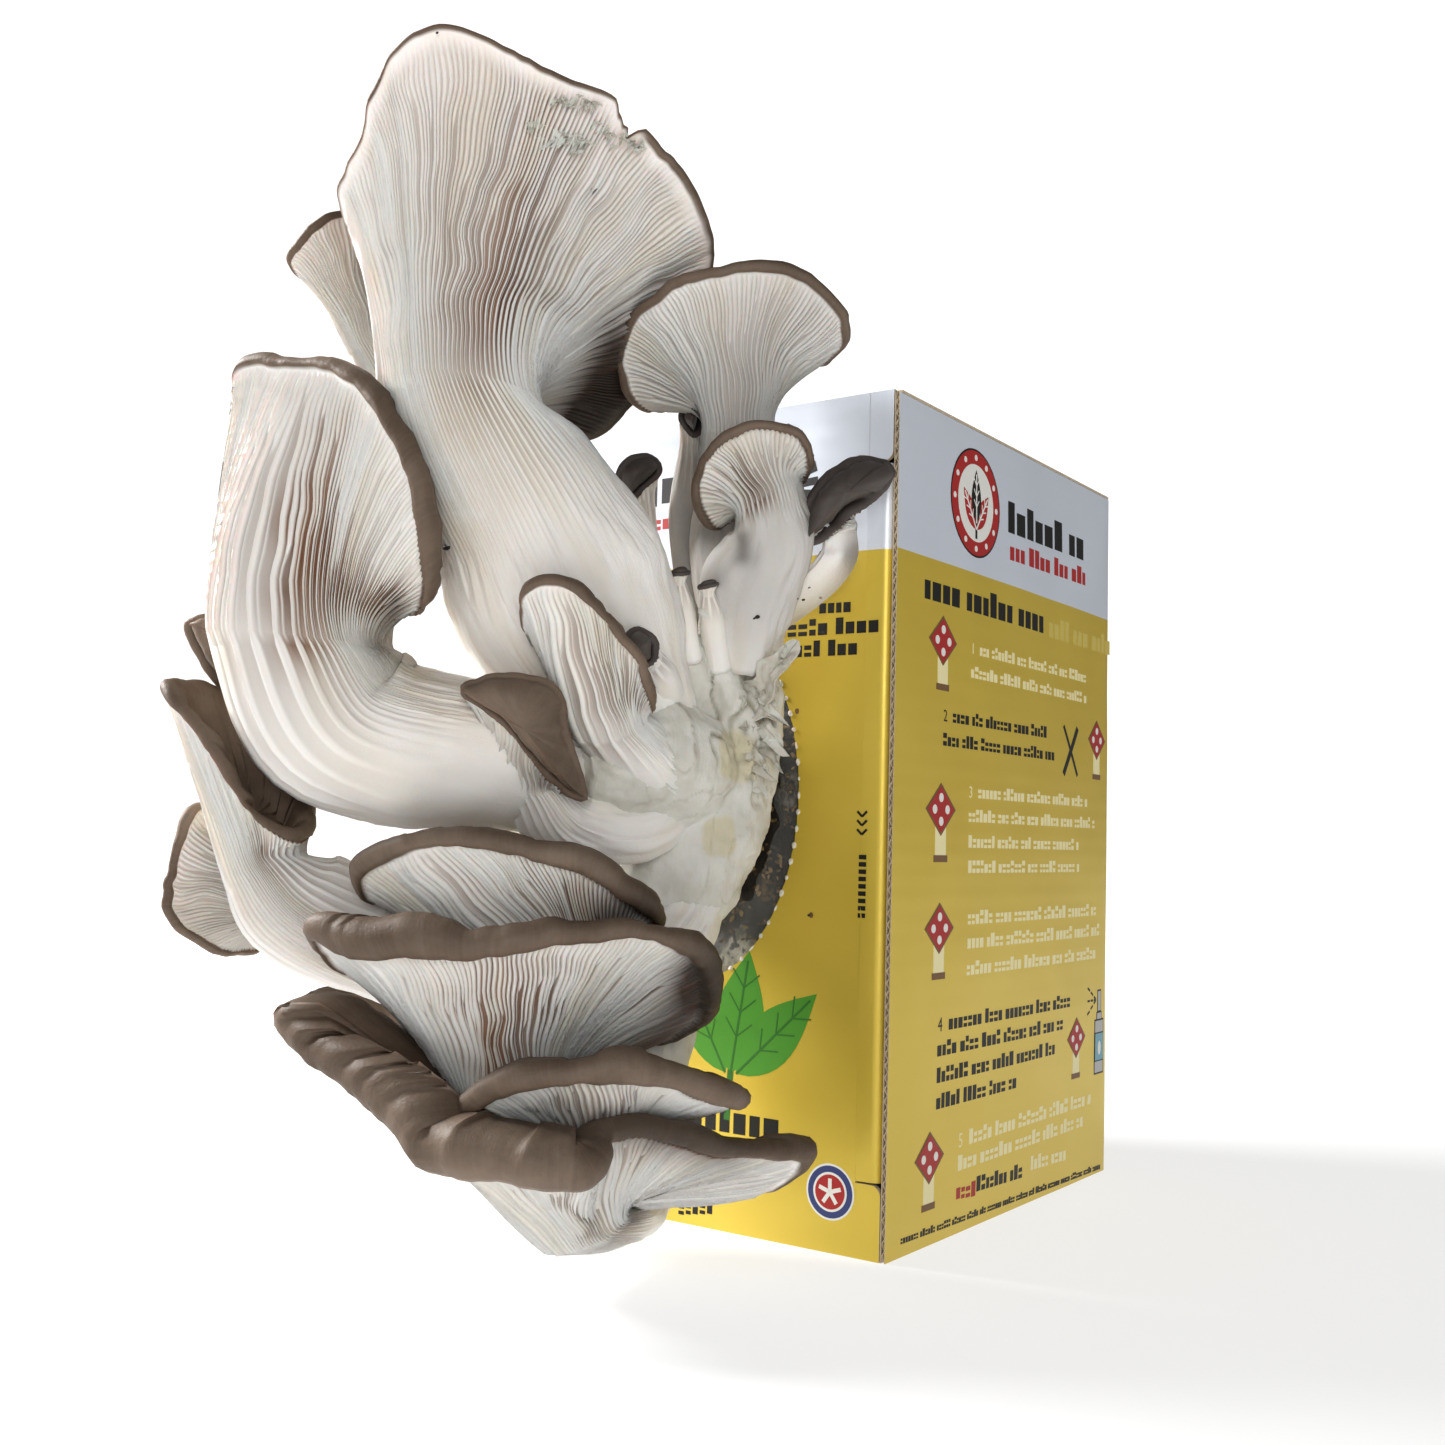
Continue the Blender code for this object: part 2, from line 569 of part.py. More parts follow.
# The cluster's fused foot
pale_flesh = material("Pale flesh", (0.80, 0.76, 0.68), 0.6)
lump = lofted("cluster_base", stem_rings(CLUSTER_LUMPS[0], 14, 10), kit, pale_flesh)
side_lump = lofted("cluster_base.side", stem_rings(CLUSTER_LUMPS[1], 12, 5), cutters)
foot = oval_plug("cluster_base.foot", MOUTH_CENTRE, FOOT_HALF_WIDTH, FOOT_HALF_HEIGHT,
                 block_front - GAP, FOOT_FRONT, cutters)
base_gaps = [grown_copy(piece, GROWN_GAP) for piece in (lump, side_lump, foot)]
cut(lump, side_lump, "UNION")
cut(lump, foot, "UNION")

# The mushrooms, each one stem and cap in one piece, parted from the foot where it leaves it
mushrooms = {}
for name, plan in MUSHROOMS.items():
    flesh_finish = material(name + " flesh", plan.pop("colour"), 0.6)
    mushrooms[name] = lofted(name, mushroom_rings(**plan), kit, flesh_finish)
mushroom_gaps = {name: grown_copy(thing, GROWN_GAP) for name, thing in mushrooms.items()}
for name, thing in mushrooms.items():
    firsts = [mushroom_gaps[first] for first, others in PRESSED_TOGETHER if name in others]
    cut_all(thing, base_gaps + firsts)

for thing in kit.objects:
    thing.data.shade_smooth()
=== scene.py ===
"""Oyster mushroom grow kit: a printed carton with a flush of oyster mushrooms growing from its window."""

from math import cos, pi, radians, sin

import bmesh
import bpy
import numpy as np
from mathutils import Matrix, Vector, noise


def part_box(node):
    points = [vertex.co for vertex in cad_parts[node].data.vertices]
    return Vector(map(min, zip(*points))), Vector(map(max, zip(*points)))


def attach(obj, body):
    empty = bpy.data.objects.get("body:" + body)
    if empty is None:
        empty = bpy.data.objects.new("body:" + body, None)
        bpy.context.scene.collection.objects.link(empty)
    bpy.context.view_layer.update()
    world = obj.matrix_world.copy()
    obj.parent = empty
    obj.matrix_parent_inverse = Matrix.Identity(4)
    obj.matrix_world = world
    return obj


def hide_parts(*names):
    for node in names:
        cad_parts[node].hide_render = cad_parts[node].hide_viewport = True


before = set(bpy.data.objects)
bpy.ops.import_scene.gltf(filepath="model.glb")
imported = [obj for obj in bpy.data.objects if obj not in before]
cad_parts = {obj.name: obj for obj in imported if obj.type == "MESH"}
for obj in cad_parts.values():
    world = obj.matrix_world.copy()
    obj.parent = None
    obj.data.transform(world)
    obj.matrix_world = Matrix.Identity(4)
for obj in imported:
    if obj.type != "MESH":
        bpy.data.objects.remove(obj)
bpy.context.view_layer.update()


# Carton walls
# One blank of E-flute board, printed in foil yellow with a silver band, wraps round as right wall,
# back, left wall and front lid. It is folded with soft edges and its long panels bow out a little.

# Sizes and places are in millimetres, and a mesh is made in metres
MM = 0.001
CARTON_LOW, CARTON_HIGH = np.array(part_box("carton")) / MM
SIDE, FRONT, BACK, HEIGHT = CARTON_HIGH[0], CARTON_LOW[1], CARTON_HIGH[1], CARTON_HIGH[2]
BOARD = 1.6
FOLD_RADIUS = 2.2
PANEL_BOW = (1.5, 1.6)
# How far back the right wall's front edge shows its flutes, and how thick the top lies on the walls
FLUTED = 4.0
COVER = 1.2
BAND_HEIGHT = 203.0
# The lid turns in behind the wall at LID_END, except at its ears, low and high
LID_END = 60.0
EAR = 21.0
WINDOW_CENTRE = 131.0
WINDOW_HALF = (38.0, 57.0)
WINDOW_POINTS = 288
NICK_PITCH = 4.9


def unit(vectors):
    lengths = np.linalg.norm(vectors, axis=-1, keepdims=True)
    return vectors / np.maximum(lengths, 1e-9)


def ripple(points, size, seed):
    """Smooth random waves from -1 to 1, of about the given size."""
    table = np.random.default_rng(seed).uniform(-1, 1, (32, 32, 32))
    place = np.asarray(points, float) / size
    low = np.floor(place).astype(int)
    part = place - low
    part = part * part * (3 - 2 * part)
    total = 0
    for corner in np.ndindex(2, 2, 2):
        weight = np.prod(np.where(corner, part, 1 - part), axis=-1)
        cell = (low + corner) % 32
        total = total + weight * table[cell[..., 0], cell[..., 1], cell[..., 2]]
    return total * 1.6


def bowed(points):
    """How far a carton panel bows out, with faint waves all over."""
    x, y, z = points.T
    swell = np.sin(pi * np.clip(z / HEIGHT, 0.0001, 0.9999)) ** 0.6
    moved = points.copy()
    right = PANEL_BOW[0] * swell * np.cos(pi * np.clip(y / (BACK - FRONT), -0.49, 0.49)) ** 0.7
    moved[:, 0] += np.sign(x) * np.where(np.abs(x) > SIDE - 3, right, 0)
    moved[:, 1] += np.where(y > BACK - 3, PANEL_BOW[1] * swell * np.cos(pi * x / (2 * SIDE)), 0)
    moved += 0.12 * ripple(points, 22, 5)[:, None] * unit(points * (1, 1, 0))
    return moved


def folded(corners, radius, step):
    """Points along an outline with rounded corners, and the way out of it at each."""
    corners = np.array(corners, float)
    ways = unit(np.diff(corners, axis=0))
    outs = np.column_stack([ways[:, 1], -ways[:, 0]])
    stops, faces = [corners[0]], [outs[0]]
    for corner, first, second in zip(corners[1:-1], outs, outs[1:]):
        centre = corner - (first + second) * radius
        for bend in np.linspace(0, pi / 2, 6):
            way = first * cos(bend) + second * sin(bend)
            stops.append(centre + way * radius)
            faces.append(way)
    stops.append(corners[-1])
    faces.append(outs[-1])
    points, normals = [], []
    for k in range(len(stops) - 1):
        parts = max(1, int(np.linalg.norm(stops[k + 1] - stops[k]) / step))
        for part in np.arange(parts) / parts:
            points.append(stops[k] * (1 - part) + stops[k + 1] * part)
            normals.append(faces[k] * (1 - part) + faces[k + 1] * part)
    points.append(stops[-1])
    normals.append(faces[-1])
    return np.array(points), np.array(normals)


def face_outward(mesh):
    """Turns a closed mesh the right way out, by the sign of its volume."""
    mesh.calc_loop_triangles()
    points = np.empty(len(mesh.vertices) * 3)
    mesh.vertices.foreach_get("co", points)
    corners = np.empty(len(mesh.loop_triangles) * 3, int)
    mesh.loop_triangles.foreach_get("vertices", corners)
    a, b, c = points.reshape(-1, 3)[corners.reshape(-1, 3)].transpose(1, 0, 2)
    if np.sum(a * np.cross(b, c)) < 0:
        mesh.flip_normals()


def closed_mesh(name, points, faces, finishes=(), kinds=()):
    """A closed mesh that faces outward. kinds says which of its finishes each face has."""
    mesh = bpy.data.meshes.new(name)
    mesh.from_pydata(points * MM, [], faces)
    face_outward(mesh)
    for finish in finishes:
        mesh.materials.append(finish)
    if kinds:
        mesh.polygons.foreach_set("material_index", kinds)
    return mesh


def sheet_mesh(name, outer, inner, finishes):
    """A closed sheet between two grids of points, with the last finish on its cut edges."""
    rows, columns = outer.shape[:2]
    points = np.concatenate([outer.reshape(-1, 3), inner.reshape(-1, 3)])
    far = rows * columns
    index = np.arange(far).reshape(rows, columns)
    front = np.stack([index[:-1, :-1], index[:-1, 1:], index[1:, 1:], index[1:, :-1]], -1).reshape(-1, 4)
    border = np.concatenate([index[0], index[1:, -1], index[-1, -2::-1], index[-2:0:-1, 0]])
    after = np.roll(border, -1)
    edge = np.stack([after, border, border + far, after + far], axis=1)
    faces = np.concatenate([front, front[:, ::-1] + far, edge]).tolist()
    kinds = [0] * (2 * len(front)) + [len(finishes) - 1] * len(edge)
    return closed_mesh(name, points, faces, finishes, kinds)


def plate_mesh(name, outline, depths, finishes):
    """A flat plate from its outline in X and Z, with the last finish on its cut edges."""
    count = len(outline)
    ring = np.arange(count)
    after = np.roll(ring, -1)
    points = [np.column_stack([outline[:, 0], np.full(count, y), outline[:, 1]]) for y in depths]
    faces = [ring.tolist(), (ring + count).tolist()[::-1]]
    faces += np.stack([ring, ring + count, after + count, after], axis=1).tolist()
    return closed_mesh(name, np.concatenate(points), faces, finishes, [0, 0] + [len(finishes) - 1] * count)


def smooth(mesh, angle=None):
    """Shades a mesh smooth, except over edges sharper than the angle."""
    mesh.shade_smooth()
    if angle:
        mesh.set_sharp_from_angle(angle=radians(angle))


def show(mesh, angle=None):
    """Puts a finished mesh in the scene, shaded smooth."""
    smooth(mesh, angle)
    thing = bpy.data.objects.new(mesh.name, mesh)
    bpy.context.scene.collection.objects.link(thing)
    return thing


def settled(thing):
    """Turns a piece with live modifiers into a plain mesh."""
    bpy.context.view_layer.update()
    graph = bpy.context.evaluated_depsgraph_get()
    mesh = bpy.data.meshes.new_from_object(thing.evaluated_get(graph), preserve_all_data_layers=True,
                                           depsgraph=graph)
    thing.modifiers.clear()
    thing.data = mesh
    return thing


def keep(thing, slot, *nodes):
    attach(thing, "root")
    if nodes:
        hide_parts(*nodes)


class Wire:
    """A value in a material's nodes, which takes part in sums."""

    def __init__(self, finish, socket):
        self.finish, self.socket = finish, socket

    def sum(self, operation, first, second):
        return self.finish.node("Math", {0: first, 1: second}, operation=operation)

    def __add__(self, other):
        return self.sum("ADD", self, other)

    def __radd__(self, other):
        return self.sum("ADD", other, self)

    def __rsub__(self, other):
        return self.sum("SUBTRACT", other, self)

    def __mul__(self, other):
        return self.sum("MULTIPLY", self, other)

    def __rmul__(self, other):
        return self.sum("MULTIPLY", other, self)


class Finish:
    """A material with one Principled shader. Values that are the same all over go on its sockets."""

    def __init__(self, name, **constants):
        self.material = bpy.data.materials.new(name)
        self.material.use_nodes = True
        self.tree = self.material.node_tree
        self.shader = self.tree.nodes["Principled BSDF"]
        for name, value in constants.items():
            self.socket(name).default_value = value

    def socket(self, name):
        return self.shader.inputs[name.replace("_", " ").title().replace("Ior", "IOR")]

    def node(self, kind, inputs=(), out=0, **settings):
        """Any node: its type, its settings, and then the values or links of its sockets."""
        made = self.tree.nodes.new("ShaderNode" + kind)
        for setting, value in settings.items():
            setattr(made, setting, value)
        for socket, value in dict(inputs).items():
            self.feed(made.inputs[socket], value)
        return Wire(self, made.outputs[out])

    def feed(self, socket, value):
        if isinstance(value, Wire):
            self.tree.links.new(value.socket, socket)
        else:
            socket.default_value = value

    def object_place(self):
        return self.node("TexCoord", out="Object")

    def scaled(self, place, *scale):
        return self.node("Mapping", {"Vector": place, "Scale": scale})

    def value(self, name, out="Fac"):
        """What the mesh says at each point under a name."""
        return self.node("Attribute", out=out, attribute_name=name)

    def noise(self, place, scale, detail=3.0, roughness=0.5, distortion=0.0):
        return self.node("TexNoise", {"Vector": place, "Scale": scale, "Detail": detail,
                                      "Roughness": roughness, "Distortion": distortion})

    def rise(self, value, low, high):
        """0 up to low, 1 from high, and a smooth step between them."""
        return self.node("MapRange", {"Value": value, "From Min": low, "From Max": high},
                         interpolation_type="SMOOTHSTEP")

    def mix(self, share, first, second):
        """One colour or the other, or a share of both."""
        first, second = [c if isinstance(c, Wire) else (*c, 1) for c in (first, second)]
        return self.node("Mix", {0: share, 6: first, 7: second}, out=2, data_type="RGBA")

    def bump(self, height, distance, strength=1.0, under=None):
        """Small relief, on top of the relief called under."""
        sockets = {"Height": height, "Distance": distance, "Strength": strength}
        if under:
            sockets["Normal"] = under
        return self.node("Bump", sockets)

    def wear(self, **wires):
        """Links what changes over the surface to the shader, and gives the material."""
        for name, wire in wires.items():
            self.feed(self.socket(name), wire)
        return self.material


def print_finish():
    """Foil ink on smooth white liner: yellow, silver from the band up, and faint scuffs."""
    ink = Finish("foil_print", specular_ior_level=0.5, coat_roughness=0.25)
    place = ink.object_place()
    height = ink.node("SeparateXYZ", {"Vector": place}, out="Z")
    silver = ink.rise(height, (BAND_HEIGHT - 0.15) * MM, (BAND_HEIGHT + 0.15) * MM)
    cloud = ink.noise(place, 14, 4, 0.55)
    yellow = ink.mix(cloud, (0.64, 0.47, 0.065), (0.74, 0.565, 0.105))
    grey = ink.mix(cloud, (0.68, 0.72, 0.79), (0.78, 0.82, 0.89))
    colour = ink.mix(silver, yellow, grey)
    scuff = ink.rise(ink.noise(place, 160, 6, 0.75), 0.66, 0.78)
    colour = ink.mix(scuff * 0.25, colour, (0.75, 0.70, 0.55))
    washboard = ink.node("TexWave", {"Vector": place, "Scale": 48.0, "Distortion": 0.6,
                                     "Detail": 1.0}, wave_type="BANDS", bands_direction="Z")
    orange_peel = ink.noise(place, 700, 2, 0.5)
    normal = ink.bump(orange_peel, 0.00005, 0.25, ink.bump(washboard, 0.00008, 0.25,
                      ink.bump(ink.noise(place, 25, 2), 0.0012, 0.35)))
    return ink.wear(base_color=colour, metallic=0.3 - 0.05 * silver,
                    roughness=0.30 + 0.14 * ink.noise(place, 60, 3) + 0.1 * scuff, normal=normal)


def raw_board_finish():
    """Cut board and the paper inside: pale grey-brown fibre."""
    raw = Finish("raw_board", roughness=0.85, specular_ior_level=0.25)
    fibre = raw.noise(raw.scaled(raw.object_place(), 1, 1, 0.3), 900, 4, 0.6)
    return raw.wear(base_color=raw.mix(fibre, (0.42, 0.33, 0.22), (0.66, 0.57, 0.44)),
                    normal=raw.bump(fibre, 0.0001, 0.4))


def window_outline():
    """The torn window edge: an ellipse with a shallow bite between each two nicks."""
    turns = np.arange(WINDOW_POINTS) / WINDOW_POINTS * 2 * pi
    around = pi * sum(WINDOW_HALF)
    bites = round(around / NICK_PITCH)
    ragged = 0.22 * np.abs(np.sin(bites * turns / 2)) + 0.1 * ripple(
        np.column_stack([np.cos(turns), np.sin(turns), turns * 0]), 0.05, 31)
    return np.column_stack([(WINDOW_HALF[0] + ragged) * np.cos(turns),
                            (WINDOW_HALF[1] + ragged) * np.sin(turns) + WINDOW_CENTRE])


PRINT, RAW_BOARD = print_finish(), raw_board_finish()

outline, ways = folded([(SIDE, FRONT + FLUTED), (SIDE, BACK), (-SIDE, BACK), (-SIDE, FRONT),
                        (LID_END, FRONT)], FOLD_RADIUS, 5.0)
tops = np.where(np.abs(outline[:, 0]) > SIDE - 1, HEIGHT - COVER, HEIGHT)
levels = np.sort(np.concatenate([np.linspace(0, 1, 44), [EAR / HEIGHT, 1 - EAR / HEIGHT]]))
outer = np.stack([np.column_stack([outline, tops * level]) for level in levels])
inner = outer - np.column_stack([ways, np.zeros(len(ways))]) * BOARD
outer, inner = [bowed(side.reshape(-1, 3)).reshape(side.shape) for side in (outer, inner)]
walls = show(sheet_mesh("carton_walls", outer, inner, (PRINT, RAW_BOARD)))
window_cutter = show(plate_mesh("window_cutter", window_outline(), (FRONT - 5, FRONT + 5), (RAW_BOARD,)))
cut = walls.modifiers.new("window", "BOOLEAN")
cut.object, cut.operation, cut.solver = window_cutter, "DIFFERENCE", "EXACT"
cut.material_mode = "TRANSFER"
settled(walls)
bpy.data.objects.remove(window_cutter)
smooth(walls.data, 30)
keep(walls, "printed_board", "carton")


# Lid flap and ears
# Between the ears the lid turns in behind the right wall. The ears stay flat on the front, each
# with one rounded corner where its slit ends, so a dark line shows beside them.

FLAP_SIDE = SIDE - BOARD - 0.7
FLAP_DEPTH = 24.0
FLAP_RADIUS = 3.2
SLIT = 0.5
EAR_SIDE = SIDE - BOARD - 0.3
EAR_CORNER = 3.0


def ease(value, low, high):
    """Rises smoothly from 0 at low to 1 at high."""
    share = np.clip((value - low) / (high - low), 0, 1)
    return share * share * (3 - 2 * share)


outline, ways = folded([(LID_END, FRONT), (FLAP_SIDE, FRONT), (FLAP_SIDE, FRONT + FLAP_DEPTH)],
                       FLAP_RADIUS, 3.0)
levels = np.linspace(EAR + SLIT, HEIGHT - EAR - SLIT, 32)
outer = np.stack([np.column_stack([outline, np.full(len(outline), level)]) for level in levels])
outer[..., 1] += 0.5 * ease(outer[..., 0], LID_END, FLAP_SIDE)
inner = outer - np.column_stack([ways, np.zeros(len(ways))]) * BOARD
flap = show(sheet_mesh("carton_flap", outer, inner, (PRINT, RAW_BOARD)), 30)
keep(flap, "printed_board")
for name, edge, sign in (("carton_ear_low", 0.0, 1), ("carton_ear_high", HEIGHT, -1)):
    corner = [(EAR_SIDE - EAR_CORNER * (1 - sin(bend)), edge + sign * (EAR - EAR_CORNER * (1 - cos(bend))))
              for bend in np.linspace(0, pi / 2, 8)]
    outline = np.array([(LID_END, edge), (LID_END, edge + sign * EAR), *corner, (EAR_SIDE, edge)])
    ear = show(plate_mesh(name, outline, (FRONT, FRONT + BOARD), (PRINT, RAW_BOARD)), 30)
    keep(ear, "printed_board")


# Fluted edge of the right wall
# The wall's front edge is cut across the flutes, so it shows two thin liners with the wavy medium
# between them. The last few millimetres are built as those three sheets of paper.

FLUTE_PITCH = 3.3
LINER = 0.25
FLUTE_HEIGHT = BOARD - 2 * LINER
MEDIUM = 0.22


def nodes_tree(name, sockets):
    """An empty Geometry Nodes tree with named inputs."""
    tree = bpy.data.node_groups.new(name, "GeometryNodeTree")
    tree.interface.new_socket("Geometry", in_out="INPUT", socket_type="NodeSocketGeometry")
    for socket, kind, value in sockets:
        made = tree.interface.new_socket(socket, in_out="INPUT", socket_type="NodeSocket" + kind)
        if value is not None:
            made.default_value = value
    tree.interface.new_socket("Geometry", in_out="OUTPUT", socket_type="NodeSocketGeometry")
    return tree, tree.nodes.new("NodeGroupInput")


def tree_node(tree, kind, inputs=(), prefix="GeometryNode", **settings):
    """A node of a tree: its settings, then the values or links of its sockets."""
    made = tree.nodes.new(prefix + kind)
    for setting, value in settings.items():
        setattr(made, setting, value)
    for socket, value in dict(inputs).items():
        if isinstance(value, bpy.types.NodeSocket):
            tree.links.new(value, made.inputs[socket])
        else:
            made.inputs[socket].default_value = value
    return made


def end_tree(tree, geometry, finish):
    """Realises the instances and sets their material."""
    real = tree_node(tree, "RealizeInstances", {0: geometry})
    painted = tree_node(tree, "SetMaterial", {"Geometry": real.outputs[0], "Material": finish})
    out = tree.nodes.new("NodeGroupOutput")
    tree.links.new(painted.outputs[0], out.inputs[0])


def grown_by(tree, name, **values):
    """A plain mesh made by a tree, with the named inputs set."""
    thing = show(bpy.data.meshes.new(name))
    step = thing.modifiers.new(name, "NODES")
    step.node_group = tree
    for item in tree.interface.items_tree:
        key = item.name.replace(" ", "_").lower()
        if item.in_out == "INPUT" and key in values:
            step[item.identifier] = values[key]
    return settled(thing)


def flute_tree():
    """One wave of the medium, repeated up the edge."""
    tree, given = nodes_tree("flutes", [("Wave", "Object", None), ("Pitch", "Float", 1.0),
                                        ("Count", "Int", 1), ("Start", "Vector", None)])
    wave = tree_node(tree, "ObjectInfo", {"Object": given.outputs["Wave"]})
    rise = tree_node(tree, "CombineXYZ", {"Z": given.outputs["Pitch"]}, prefix="ShaderNode")
    line = tree_node(tree, "MeshLine", {"Count": given.outputs["Count"],
                                        "Start Location": given.outputs["Start"],
                                        "Offset": rise.outputs[0]})
    waves = tree_node(tree, "InstanceOnPoints", {"Points": line.outputs[0],
                                                 "Instance": wave.outputs["Geometry"]})
    end_tree(tree, waves.outputs[0], RAW_BOARD)
    return tree


heights = np.linspace(0, FLUTE_PITCH, 9)
lean = FLUTE_HEIGHT / 2 * 0.8 * np.cos(heights / FLUTE_PITCH * 2 * pi)
wave_faces = [np.stack([np.column_stack([lean + shift, np.full(9, y), heights])
                        for y in np.linspace(0, FLUTED - 0.2, 3)])
              for shift in (MEDIUM / 2, -MEDIUM / 2)]
wave = show(sheet_mesh("flute_wave", *wave_faces, (RAW_BOARD,)))
medium = grown_by(flute_tree(), "carton_flutes", wave=wave, pitch=FLUTE_PITCH * MM,
                  count=int((HEIGHT - COVER) / FLUTE_PITCH),
                  start=Vector((SIDE - BOARD / 2, FRONT + 0.15, 0.3)) * MM)
bpy.data.objects.remove(wave)
keep(medium, "printed_board")
for name, x, finishes in (("carton_edge_liner", SIDE, (PRINT, RAW_BOARD)),
                          ("carton_edge_backing", SIDE - BOARD + LINER, (RAW_BOARD,))):
    heights = np.linspace(0, HEIGHT - COVER, 60)
    faces = [np.stack([np.column_stack([np.full(60, x - thin), np.full(60, y), heights])
                       for y in (FRONT, FRONT + FLUTED / 2, FRONT + FLUTED)]) for thin in (0, LINER)]
    keep(show(sheet_mesh(name, *[bowed(face.reshape(-1, 3)).reshape(face.shape) for face in faces],
                         finishes), 30), "printed_board")


# Top and base
# Closing panels of the same board. The top lies over the ends of the side walls, so its raw edge
# shows along them. The base lies just inside the walls.

PANEL_GAP = 0.1
TOP_GAP = 0.05
EDGE_RADIUS = 0.25


def mesh_of(shape, name, *finishes):
    """A plain mesh from a bmesh, which is then freed."""
    mesh = bpy.data.meshes.new(name)
    shape.to_mesh(mesh)
    shape.free()
    for finish in finishes:
        mesh.materials.append(finish)
    return mesh


def plain_board(name, low, high):
    """A closing panel with softly rounded edges, raw at its sides."""
    shape = bmesh.new()
    bmesh.ops.create_cube(shape, size=1.0)
    middle, size = (np.array(low) + high) / 2, np.array(high) - low
    bmesh.ops.scale(shape, vec=size * MM, verts=shape.verts)
    bmesh.ops.translate(shape, vec=middle * MM, verts=shape.verts)
    bmesh.ops.bevel(shape, geom=shape.edges, offset=EDGE_RADIUS * MM, segments=2, affect="EDGES")
    mesh = mesh_of(shape, name, PRINT, RAW_BOARD)
    for face in mesh.polygons:
        face.material_index = 0 if abs(face.normal.z) > 0.9 else 1
    return show(mesh, 30)


inset = BOARD + PANEL_GAP
keep(plain_board("carton_top", (-SIDE, FRONT + inset, HEIGHT - COVER + TOP_GAP),
                 (SIDE, BACK - inset, HEIGHT)), "printed_board")
keep(plain_board("carton_base", (inset - SIDE, FRONT + inset, 0.0),
                 (SIDE - inset, BACK - inset, BOARD)), "printed_board")


# Window nicks
# The window was punched out along a perforated line. Where each bridge of the perforation tore, a
# small tuft of white liner stands up round the edge.

TUFT_RADIUS = 0.95
TUFT_ROUGHNESS = 0.18
NICKS_OUT = 0.35


def nick_tree():
    """A tuft of paper at each bridge of the perforation, set round an ellipse."""
    tree, given = nodes_tree("nicks", [("Tuft", "Object", None), ("Half Width", "Float", 1.0),
                                       ("Half Height", "Float", 1.0), ("Count", "Int", 1),
                                       ("Centre", "Vector", None), ("Seed", "Int", 0)])
    ellipse = tree_node(tree, "CurvePrimitiveCircle", {"Resolution": 256, "Radius": 1.0})
    size = tree_node(tree, "CombineXYZ", {"X": given.outputs["Half Width"], "Z": 1.0,
                                          "Y": given.outputs["Half Height"]}, prefix="ShaderNode")
    shaped = tree_node(tree, "Transform", {"Geometry": ellipse.outputs[0], "Scale": size.outputs[0]})
    stood = tree_node(tree, "Transform", {"Geometry": shaped.outputs[0], "Rotation": (pi / 2, 0, 0),
                                          "Translation": given.outputs["Centre"]})
    spaced = tree_node(tree, "ResampleCurve", {"Curve": stood.outputs[0], "Count": given.outputs["Count"]})
    way = tree_node(tree, "InputTangent")
    turned = tree_node(tree, "AlignRotationToVector", {"Vector": way.outputs[0]},
                       prefix="FunctionNode", axis="X", pivot_axis="Y")
    tuft = tree_node(tree, "ObjectInfo", {"Object": given.outputs["Tuft"]})
    scale = tree_node(tree, "RandomValue", {"Min": (0.6, 0.7, 0.5), "Max": (1.25, 1.2, 1.4),
                                            "Seed": given.outputs["Seed"]},
                      prefix="FunctionNode", data_type="FLOAT_VECTOR")
    tufts = tree_node(tree, "InstanceOnPoints", {"Points": spaced.outputs[0],
                                                 "Instance": tuft.outputs["Geometry"],
                                                 "Rotation": turned.outputs[0],
                                                 "Scale": scale.outputs[0]})
    end_tree(tree, tufts.outputs[0], TORN_PAPER)
    return tree


def paper_finish():
    """Torn white liner, a little translucent and fibrous."""
    paper = Finish("torn_paper", roughness=0.9, subsurface_weight=0.2, subsurface_scale=0.0006)
    fibre = paper.noise(paper.object_place(), 1500, 3, 0.7)
    return paper.wear(base_color=paper.mix(fibre, (0.62, 0.58, 0.48), (0.86, 0.84, 0.78)),
                      normal=paper.bump(fibre, 0.0001, 0.5))


TORN_PAPER = paper_finish()
shape = bmesh.new()
bmesh.ops.create_icosphere(shape, subdivisions=2, radius=TUFT_RADIUS * MM)
# The noise counts from the clock unless it is given a seed
noise.seed_set(4)
for vertex in shape.verts:
    vertex.co = Vector((vertex.co.x, vertex.co.y * 0.55, vertex.co.z * 0.62))
    vertex.co += TUFT_ROUGHNESS * MM * noise.noise_vector(vertex.co * 1400)
tuft = show(mesh_of(shape, "tuft"))
nicks = grown_by(nick_tree(), "window_nicks", tuft=tuft, half_width=(WINDOW_HALF[0] + NICKS_OUT) * MM,
                 half_height=(WINDOW_HALF[1] + NICKS_OUT) * MM,
                 count=round(pi * sum(WINDOW_HALF) / NICK_PITCH),
                 centre=Vector((0, FRONT - 0.05, WINDOW_CENTRE)) * MM, seed=4)
bpy.data.objects.remove(tuft)
keep(nicks, "printed_board")


# Print on the panels
# The inks on the foil: rows of small blocks where a carton has its wording, step numbers and plain
# ornaments. Each is a very thin closed plate that follows the bowed board.

INK_LIFT = 0.05
INK_DEPTH = 0.06
LONGEST_EDGE = 4.0
LARGEST_PARTED = 6.0


def ink_finish(name, colour):
    """One printing ink, a little uneven where it lies on the foil."""
    ink = Finish(name, specular_ior_level=0.5)
    place = ink.object_place()
    worn = ink.rise(ink.noise(place, 260, 5, 0.7), 0.62, 0.80)
    lighter = tuple(0.75 * part + 0.10 for part in colour)
    return ink.wear(base_color=ink.mix(worn * 0.5, colour, lighter),
                    roughness=0.42 + 0.15 * ink.noise(place, 90, 2))


